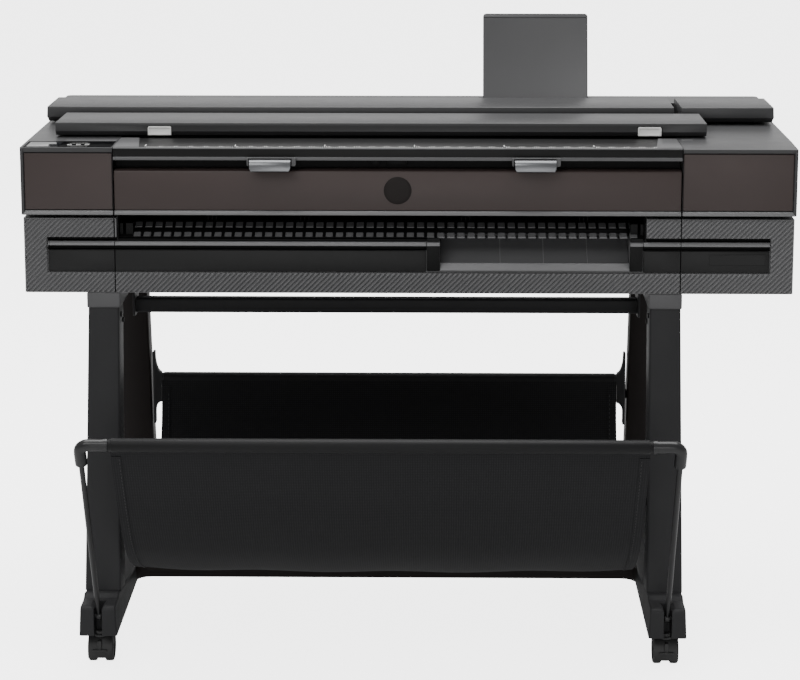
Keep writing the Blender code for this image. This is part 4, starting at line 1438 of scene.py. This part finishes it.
basket = {
    "half": 0.431,
    "rail": (-0.324, 0.435),
    "railRadius": 0.0115,
    "rearBar": (0.439, 0.360),
    "rearRadius": 0.0125,
    "hinge": (-0.146, 0.089),
    "clothProfile": (
        (-0.3229, 0.4258), (-0.290, 0.372), (-0.260, 0.3285), (-0.218, 0.270), (-0.163, 0.2105),
        (-0.100, 0.167),
        (-0.028, 0.134), (0.025, 0.1215), (0.080, 0.1170), (0.140, 0.1215), (0.200, 0.134), (0.250, 0.151),
        (0.310, 0.182), (0.360, 0.218), (0.400, 0.263), (0.419, 0.305), (0.4255, 0.3450), (0.4262, 0.3600),
    ),
    "clothThick": 0.0012,
    "across": 64,
    "hem": 0.016,
    "rows": 72,
    "stitches": 118,
}


def frameDrop():
    depth, height = basket["rail"]
    return Vector((0, basket["hinge"][0] - depth, basket["hinge"][1] - height)).normalized()


def addBasketFrame():
    left = stand["centre"] - basket["half"]
    right = stand["centre"] + basket["half"]
    depth, height = basket["rail"]
    bar = cylinder(
        "basketRail", (stand["centre"], back(depth), height), 0.0100, right - left + 0.009, "X", 40
    )
    soften(bar, 0.001, 2)
    sleeve = cylinder(
        "sleeve", (stand["centre"], back(depth), height), basket["railRadius"], right - left - 0.004, "X", 48
    )
    soften(sleeve, 0.0012, 2)
    settle(joined("basketRail", [bar, sleeve]), "basket_frame", "sleeveCloth", ["basket_rail"])
    drop = frameDrop()
    for sign in (-1, 1):
        inX = stand["centre"] + sign * (basket["half"] + 0.0048)
        outX = stand["centre"] + sign * stand["legX"]
        corner = Vector((outX, back(depth), height))
        start = Vector((inX, back(depth), height))
        points, radii = [start, start + Vector((sign * 0.010, 0, 0))], [0.0103, 0.0102]
        for step in range(1, 8):
            angle = math.radians(90 * step / 7)
            points.append(
                corner + Vector(
                    (-sign * 0.014 * (1 - math.sin(angle)), 0, 0)
                ) + drop * 0.014 * (1 - math.cos(angle))
            )
            radii.append(0.0100)
        points += [corner + drop * 0.034, corner + drop * 0.040]
        radii += [0.0100, 0.0098]
        elbow = pipe("basketElbow", points, 0.0092, 8, radii)
        collar = pipe(
            "collar", [start - Vector((sign * 0.001, 0, 0)), start + Vector((sign * 0.006, 0, 0))], 0.0112, 8
        )
        hinge = Vector((outX, back(basket["hinge"][0]), basket["hinge"][1]))
        rod = pipe(
            "rod", [corner + drop * 0.030, corner + drop * 0.12, hinge - drop * 0.12, hinge + drop * 0.004],
            0.0046, 6
        )
        eye = cylinder("eye", hinge, 0.0074, 0.0090, "X", 24)
        soften(eye, 0.001, 2)
        name = "Left" if sign < 0 else "Right"
        settle(
            joined("basketArm" + name, [elbow, collar, rod, eye]), "basket_frame", "elbow",
            ["basket_arm_" + name.lower()]
        )


def addRearBar():
    left = stand["centre"] - basket["half"]
    right = stand["centre"] + basket["half"]
    depth, height = basket["rearBar"]
    bar = cylinder(
        "rearBar", (stand["centre"], back(depth), height), basket["rearRadius"] - 0.0012,
        right - left + 0.004, "X", 40
    )
    settle(
        soften(
            cylinder(
                "rearSleeve", (stand["centre"], back(depth), height), basket["rearRadius"],
                right - left - 0.006, "X", 48
            ),
            0.0012, 2
        ),
        "root", "sleeveCloth"
    )
    brackets = [bar]
    for sign in (-1, 1):
        tip = stand["centre"] + sign * (basket["half"] + 0.001)
        base = stand["centre"] + sign * (stand["legX"] - stand["legTop"] / 2 - 0.0055)
        strip = base - sign * 0.0045
        corners = [(base, 0.2735), (base, 0.4135), (strip, 0.4135)]
        for step in range(1, 9):
            angle = math.radians(90 * step / 8)
            corners.append((tip + (strip - tip) * math.cos(angle), 0.4085 - 0.0360 * math.sin(angle)))
        for step in range(0, 8):
            angle = math.radians(90 * step / 7)
            corners.append((tip + (strip - tip) * math.sin(angle), 0.2960 + 0.0198 * math.cos(angle)))
        corners.append((strip, 0.2735))
        wing = extruded("wing", [(x, back(0.432), z) for x, z in corners], (0, 0.018, 0))
        brackets.append(soften(wing, 0.0014, 2, 40))
    settle(joined("rearBar", brackets), "root", "powderCoat", ["basket_rear_frame"])


def smoothLine(points, count):
    # evenly spaced points along a smooth curve through the given ones
    ends = [points[0]] + list(points) + [points[-1]]
    fine = []
    for a, b, c, d in zip(ends, ends[1:], ends[2:], ends[3:]):
        for step in range(24):
            t = step / 24
            fine.append([
                0.5 * (2 * b[k] + (c[k] - a[k]) * t + (2 * a[k] - 5 * b[k] + 4 * c[k] - d[k]) * t**2
                       + (3 * b[k] - a[k] - 3 * c[k] + d[k]) * t**3) for k in (0, 1)
            ])
    fine.append(list(points[-1]))
    run = [0]
    for first, second in zip(fine, fine[1:]):
        run.append(run[-1] + math.dist(first, second))
    found = []
    place = 0
    for index in range(count + 1):
        target = run[-1] * index / count
        while place < len(run) - 2 and run[place + 1] < target:
            place += 1
        share = (target - run[place]) / max(run[place + 1] - run[place], 1e-9)
        found.append([fine[place][k] + (fine[place + 1][k] - fine[place][k]) * min(share, 1) for k in (0, 1)])
    return found, run[-1]


def clothPoint(line, along, across):
    # the cloth hangs slack: it dips between its ends, and ripples a little near its free side edges
    index = along * (len(line) - 1)
    low = min(int(index), len(line) - 2)
    share = index - low
    depth = line[low][0] + (line[low + 1][0] - line[low][0]) * share
    height = line[low][1] + (line[low + 1][1] - line[low][1]) * share
    before, after = line[max(low - 1, 0)], line[min(low + 2, len(line) - 1)]
    run = Vector((after[0] - before[0], after[1] - before[1])).normalized()
    normal = Vector((run.y, -run.x))
    held = math.sin(math.pi * along)
    side = abs(2 * across - 1)
    ripple = 0.0016 * held * math.sin(23 * across + 5.0 * along) * math.sin(math.pi * 2.3 * along + 1.1)
    edgeWave = 0.0042 * held * side**6 * math.sin(2 * math.pi * 1.6 * along + (0.8 if across > 0.5 else 0))
    dip = 0.0030 * held * math.cos(math.pi * (across - 0.5))
    offset = ripple + edgeWave + dip
    x = stand["centre"] + (across - 0.5) * 2 * basket["half"] * (1 - 0.004 * held)
    return Vector((x, back(depth + normal.x * offset), height + normal.y * offset))


def sheetGrid(name, line, length, alongSpan, acrossSpan, columns):
    deselectAll()
    bpy.ops.mesh.primitive_grid_add(x_subdivisions=columns, y_subdivisions=len(line) - 1, size=1)
    piece = bpy.context.object
    piece.name = name
    piece.data.uv_layers.new(name="clothRun")
    runs = []
    for vert in piece.data.vertices:
        across = acrossSpan[0] + (vert.co.x + 0.5) * (acrossSpan[1] - acrossSpan[0])
        along = alongSpan[0] + (vert.co.y + 0.5) * (alongSpan[1] - alongSpan[0])
        runs.append((across * 2 * basket["half"], along * length))
        vert.co = clothPoint(line, along, across)
    layer = piece.data.uv_layers["clothRun"].data
    for loop in piece.data.loops:
        layer[loop.index].uv = runs[loop.vertex_index]
    return piece


def thicken(piece, thick):
    wall = piece.modifiers.new("wall", "SOLIDIFY")
    wall.thickness = thick
    wall.offset = 0
    applyModifiers(piece)
    tidyNormals(piece)


def addCloth():
    line, length = smoothLine(basket["clothProfile"], basket["rows"])
    print("basket cloth, flat length", round(length, 4))
    cloth = sheetGrid("basketCloth", line, length, (0, 1), (0, 1), basket["across"])
    thicken(cloth, basket["clothThick"])
    hems = []
    hemShare = basket["hem"] / (2 * basket["half"])
    for span in ((0, hemShare), (1 - hemShare, 1)):
        hem = sheetGrid("hem", line, length, (0.012, 0.988), span, 3)
        thicken(hem, basket["clothThick"] + 0.0022)
        hems.append(hem)
    hemPiece = joined("clothHems", hems)
    size = Matrix.Diagonal((0.0009, 0.0046, 0.0044, 1))
    whole = bmesh.new()
    for across in (hemShare * 0.82, 1 - hemShare * 0.82):
        for index in range(basket["stitches"]):
            along = 0.02 + index * 0.96 / basket["stitches"]
            middle = clothPoint(line, along, across)
            run = (clothPoint(line, along + 0.004, across) - middle).normalized()
            turn = run.to_track_quat("Y", "Z").to_matrix().to_4x4()
            bmesh.ops.create_cube(whole, size=1, matrix=Matrix.Translation(middle) @ turn @ size)
    deselectAll()
    bpy.ops.mesh.primitive_cube_add(size=1)
    thread = bpy.context.object
    thread.name = "clothStitches"
    whole.to_mesh(thread.data)
    whole.free()
    for piece, finish in ((cloth, "cloth"), (hemPiece, "cloth"), (thread, "thread")):
        pickOnly(piece)
        bpy.ops.object.shade_smooth_by_angle(angle=math.radians(50))
        dress(piece, finish)
        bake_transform(piece)
    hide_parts("basket_cloth_front", "basket_cloth_rear")


addBasketFrame()
addRearBar()
addCloth()
print("basket is done")


# casters: a hooded fork and twin wheels, made once and copied to each corner


caster = {
    "radius": 0.025,
    "width": 0.043,
    "trail": 0.014,
    "rows": {"front": -0.131, "rear": 0.520},
    "hood": 0.0290,
}


def casterFork(middle, stem, braked):
    centre = Vector((middle, back(stem + caster["trail"]), caster["radius"]))
    hood = cylinder("hood", centre, caster["hood"], caster["width"] - 0.002, "X", 56)
    cutBox(hood, (middle - 0.1, middle + 0.1), (stem + caster["trail"], stem + 0.1), (-0.1, centre.z + 0.006))
    cutBox(hood, (middle - 0.1, middle + 0.1), (stem - 0.1, stem + caster["trail"] + 0.001), (-0.1, 0.0120))
    for sign in (-1, 1):
        carve(
            hood,
            cylinder(
                "cutter", centre + Vector((sign * 0.026, 0, 0)), caster["radius"] + 0.0015, 0.040, "X", 56
            )
        )
    soften(hood, 0.0009, 2, 40)
    parts = [hood, cylinder("web", centre, 0.012, 0.0105, "X", 32)]
    neck = block("neck", (middle - 0.0053, middle + 0.0053), (stem + 0.005, stem + 0.023), (0.026, 0.050))
    soften(neck, 0.0015, 2)
    stalkProfile = [
        (0, 0.0062), (0.0070, 0.0062), (0.0070, 0.0010), (0.0105, 0.0005), (0.0105, -0.0030), (0, -0.0030)
    ]
    stalk = turned("stalk", stalkProfile, (middle, back(stem), 0.0517), "Z", 32)
    parts += [neck, stalk]
    if braked:
        pedal = block(
            "pedal", (middle - 0.0125, middle + 0.0125), (stem - 0.0190, stem - 0.0120), (0.0255, 0.0285)
        )
        bevelEdges(pedal, edgeAlong((0, 0, 1), y=(back(stem - 0.0190),) * 2), 0.002, 3)
        soften(pedal, 0.0008, 2)
        stemBar = block(
            "pedalStem", (middle - 0.0032, middle + 0.0032), (stem - 0.0178, stem + 0.004), (0.0280, 0.0440)
        )
        soften(stemBar, 0.0008, 2)
        parts += [pedal, stemBar]
    return joined("casterFork", parts)


def casterWheels(middle, stem):
    centre = Vector((middle, back(stem + caster["trail"]), caster["radius"]))
    half, radius = caster["width"] / 2, caster["radius"]
    side = [
        (0, half - 0.0030), (0.0035, half - 0.0030), (0.0060, half - 0.0008), (0.0125, half - 0.0018),
        (0.0165, half - 0.0018),
        (0.0180, half), (radius - 0.0030, half), (radius - 0.0008, half - 0.0012), (radius, half - 0.0032),
        (radius, 0.0100),
        (radius - 0.0008, 0.0080), (radius - 0.0030, 0.0070), (0.0040, 0.0070),
    ]
    profile = side + [(r, -h) for r, h in reversed(side)]
    return turned("casterWheels", profile, centre, "X", 48)


def addCasters():
    for row, stem in caster["rows"].items():
        first = stand["centre"] - stand["legX"]
        fork = casterFork(first, stem, row == "front")
        wheels = casterWheels(first, stem)
        across = (2 * stand["legX"], 0, 0)
        for side, move in (("right", across), ("left", None)):
            forkPiece = copyTo(fork, "casterFork", move) if move else fork
            wheelPiece = copyTo(wheels, "casterWheels", move) if move else wheels
            forkPiece.name = "casterFork" + row.title() + side.title()
            wheelPiece.name = "casterWheels" + row.title() + side.title()
            settle(forkPiece, f"caster_fork_{row}_{side}", "casterPlastic", [f"caster_fork_{row}_{side}"])
            settle(wheelPiece, f"caster_wheels_{row}_{side}", "tread", [f"caster_wheels_{row}_{side}"])


addCasters()
print("casters are done")


# ink cartridges, carriage and spindle, seen when a cover is open


ink = {
    "left": 0.478,
    "pitch": 0.042,
    "width": 0.036,
    "depth": (0.016, 0.155),
    "z": (0.766, 0.850),
    "labels": ("inkCyan", "inkMagenta", "inkYellow", "inkBlack"),
}


def addCartridges():
    x = (ink["left"], ink["left"] + ink["width"])
    shell = block("cartridge", x, ink["depth"], ink["z"])
    bevelEdges(shell, edgeAlong((0, 1, 0)), 0.004, 3)
    inset(shell, facing((0, -1, 0)), 0.003, -0.0016)
    grip = block(
        "grip", (x[0] + 0.008, x[1] - 0.008), (ink["depth"][0] + 0.0004, ink["depth"][0] + 0.004),
        (0.772, 0.780)
    )
    soften(grip, 0.0008, 1)
    soften(shell, 0.0008, 2)
    shell = joined("cartridge", [shell, grip])
    label = block(
        "label", (x[0] + 0.006, x[1] - 0.006), (ink["depth"][0] + 0.0010, ink["depth"][0] + 0.0022),
        (0.800, 0.838)
    )
    bevelEdges(label, edgeAlong((0, 1, 0)), 0.002, 3)
    for index in range(3, -1, -1):
        move = (ink["pitch"] * index, 0, 0)
        shellPiece = copyTo(shell, "cartridge", move) if index else shell
        labelPiece = copyTo(label, "label", move) if index else label
        shellPiece.name = f"inkCartridge{index + 1}"
        labelPiece.name = f"inkLabel{index + 1}"
        body = f"ink_cartridge_{index + 1}"
        settle(shellPiece, body, "blackAbs", [body])
        settle(labelPiece, body, ink["labels"][index])


def addCarriage():
    x = (0.478, 0.578)
    shell = block("carriage", x, (0.178, 0.268), (0.770, 0.838))
    bevelEdges(shell, edgeAlong((1, 0, 0), z=(0.838, 0.838)), 0.010, 4)
    carve(shell, cylinder("cutter", (x[0], back(0.255), 0.790), 0.0076, 0.300, "X", 24))
    inset(shell, facing((0, -1, 0)), 0.006, -0.0015)
    inset(shell, facing((0, 0, 1)), 0.006, -0.0015)
    settle(soften(shell, 0.001, 2), "print_carriage", "blackAbs", ["print_carriage"])


def addSpindle():
    hub, tubing, end = 0.042, 0.015, 0.480
    profile = [
        (0, end), (0.010, end), (0.012, end - 0.003), (0.030, end - 0.003), (hub - 0.003, end),
        (hub, end - 0.001), (hub, end - 0.006),
        (0.026, end - 0.010), (0.024, end - 0.012), (0.024, end - 0.035), (tubing, end - 0.037),
    ]
    profile += [(r, -h) for r, h in reversed(profile)]
    spindle = turned("rollSpindle", profile, (-0.0185, back(0.366), 0.800), "X", 48)
    settle(spindle, "roll_spindle", "blackAbs", ["roll_spindle"])


addCartridges()
addCarriage()
addSpindle()
print("inside is done")


# name plate, left blank, and the finishes of the parts that keep their own shape


def addBlankPlate():
    plate = block("blankPlate", (0.5115, 0.6075), (0.0032, 0.0041), (0.6665, 0.6845))
    inset(plate, facing((0, -1, 0)), 0.0009, 0)
    inset(plate, facing((0, -1, 0), x=(0.513, 0.606)), 0.0002, -0.0004)
    settle(plate, "root", "band")


keptNodes = {
    "scanner_glass": "glass",
    "power_inlet": "blackAbs",
    "power_switch": "polished",
    "chassis_beam": "zinc",
    "carriage_rail": "steel",
    "drive_belt": "beltRubber",
    "drive_pulley": "steel",
    "idler_pulley": "steel",
    "platen": "blackAbs",
    "main_board": "board",
    "feed_roller": "rubber",
    "pinch_roller": "rubber",
}
addBlankPlate()
for node, finish in keptNodes.items():
    dress(bpy.data.objects[node] if node in bpy.data.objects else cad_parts[node], finish)
print("kept parts have their finishes")


# camera and studio

view = {
    "place": (0.0463, -4.1566, 1.4754),  # the depth is counted from the body's front face
    "turn": 0.83,  # degrees to the left
    "tilt": 10.9,  # degrees down
    "lens": 111.9,
    "shiftY": -0.1,
}

studio = {
    "skyGrey": 1.0,
    "skyPower": 0.50,
    "overhead": {"place": (0, 0.5, 3.2), "aim": (0, 0.2, 0.8), "size": (3.6, 2.4), "power": 150.0},
    "frontHigh": {"place": (-1.6, -3.0, 3.4), "aim": (0, 0, 0.7), "size": (2.4, 1.6), "power": 50.0},
    "frontLow": {"place": (0.2, -4.6, 0.9), "aim": (0, 0, 0.5), "size": (2.2, 0.9), "power": 24.0},
    "behind": {"place": (0, 4.4, 1.95), "aim": (0, 0, 0.9), "size": (6.4, 1.9), "power": 30.0},
    "floorSize": 30.0,
    "floorGlow": 0.2,
    "paperWhite": 4.0,  # how bright the paper and the sky look to the camera itself
}


def addCamera():
    x, y, z = view["place"]
    aim = (math.radians(90 - view["tilt"]), 0, math.radians(view["turn"]))
    bpy.ops.object.camera_add(location=(x, back(y), z), rotation=aim)
    camera = bpy.context.object
    camera.data.lens = view["lens"]
    camera.data.shift_y = view["shiftY"]
    camera.data.clip_end = 60
    bpy.context.scene.camera = camera


def addSoftbox(name):
    place, aim, size, power = (studio[name][key] for key in ("place", "aim", "size", "power"))
    bpy.ops.object.light_add(type="AREA", location=place)
    lamp = bpy.context.object
    lamp.name = name
    lamp.data.shape = "RECTANGLE"
    lamp.data.size, lamp.data.size_y = size
    lamp.data.energy = power
    lamp.rotation_euler = (Vector(aim) - Vector(place)).to_track_quat("-Z", "Y").to_euler()


def seenOrNot(tree, socket, light):
    # gives off this much light, but looks white where the camera sees it directly
    path = addNode(tree, "ShaderNodeLightPath", {})
    seen = {"Value": path.outputs["Is Camera Ray"], "To Min": light, "To Max": studio["paperWhite"]}
    strength = addNode(tree, "ShaderNodeMapRange", seen)
    tree.links.new(strength.outputs["Result"], socket)


def addStudio():
    world = bpy.context.scene.world or bpy.data.worlds.new("studio")
    bpy.context.scene.world = world
    world.use_nodes = True
    sky = world.node_tree.nodes["Background"]
    sky.inputs["Color"].default_value = (studio["skyGrey"],) * 3 + (1,)
    seenOrNot(world.node_tree, sky.inputs["Strength"], studio["skyPower"])
    for name in ("overhead", "frontHigh", "frontLow", "behind"):
        addSoftbox(name)
    bpy.ops.mesh.primitive_plane_add(size=studio["floorSize"], location=(0, 3, 0))
    floor = bpy.context.object
    floor.name = "studioFloor"
    paper = bpy.data.materials.new("whiteStudioPaper")
    paper.use_nodes = True
    shader = paper.node_tree.nodes["Principled BSDF"]
    shader.inputs["Base Color"].default_value = (0.6, 0.6, 0.6, 1)
    shader.inputs["Roughness"].default_value = 0.9
    shader.inputs["Emission Color"].default_value = (1, 1, 1, 1)
    seenOrNot(paper.node_tree, shader.inputs["Emission Strength"], studio["floorGlow"])
    floor.data.materials.append(paper)


addCamera()
addStudio()
print("camera and studio are in place")
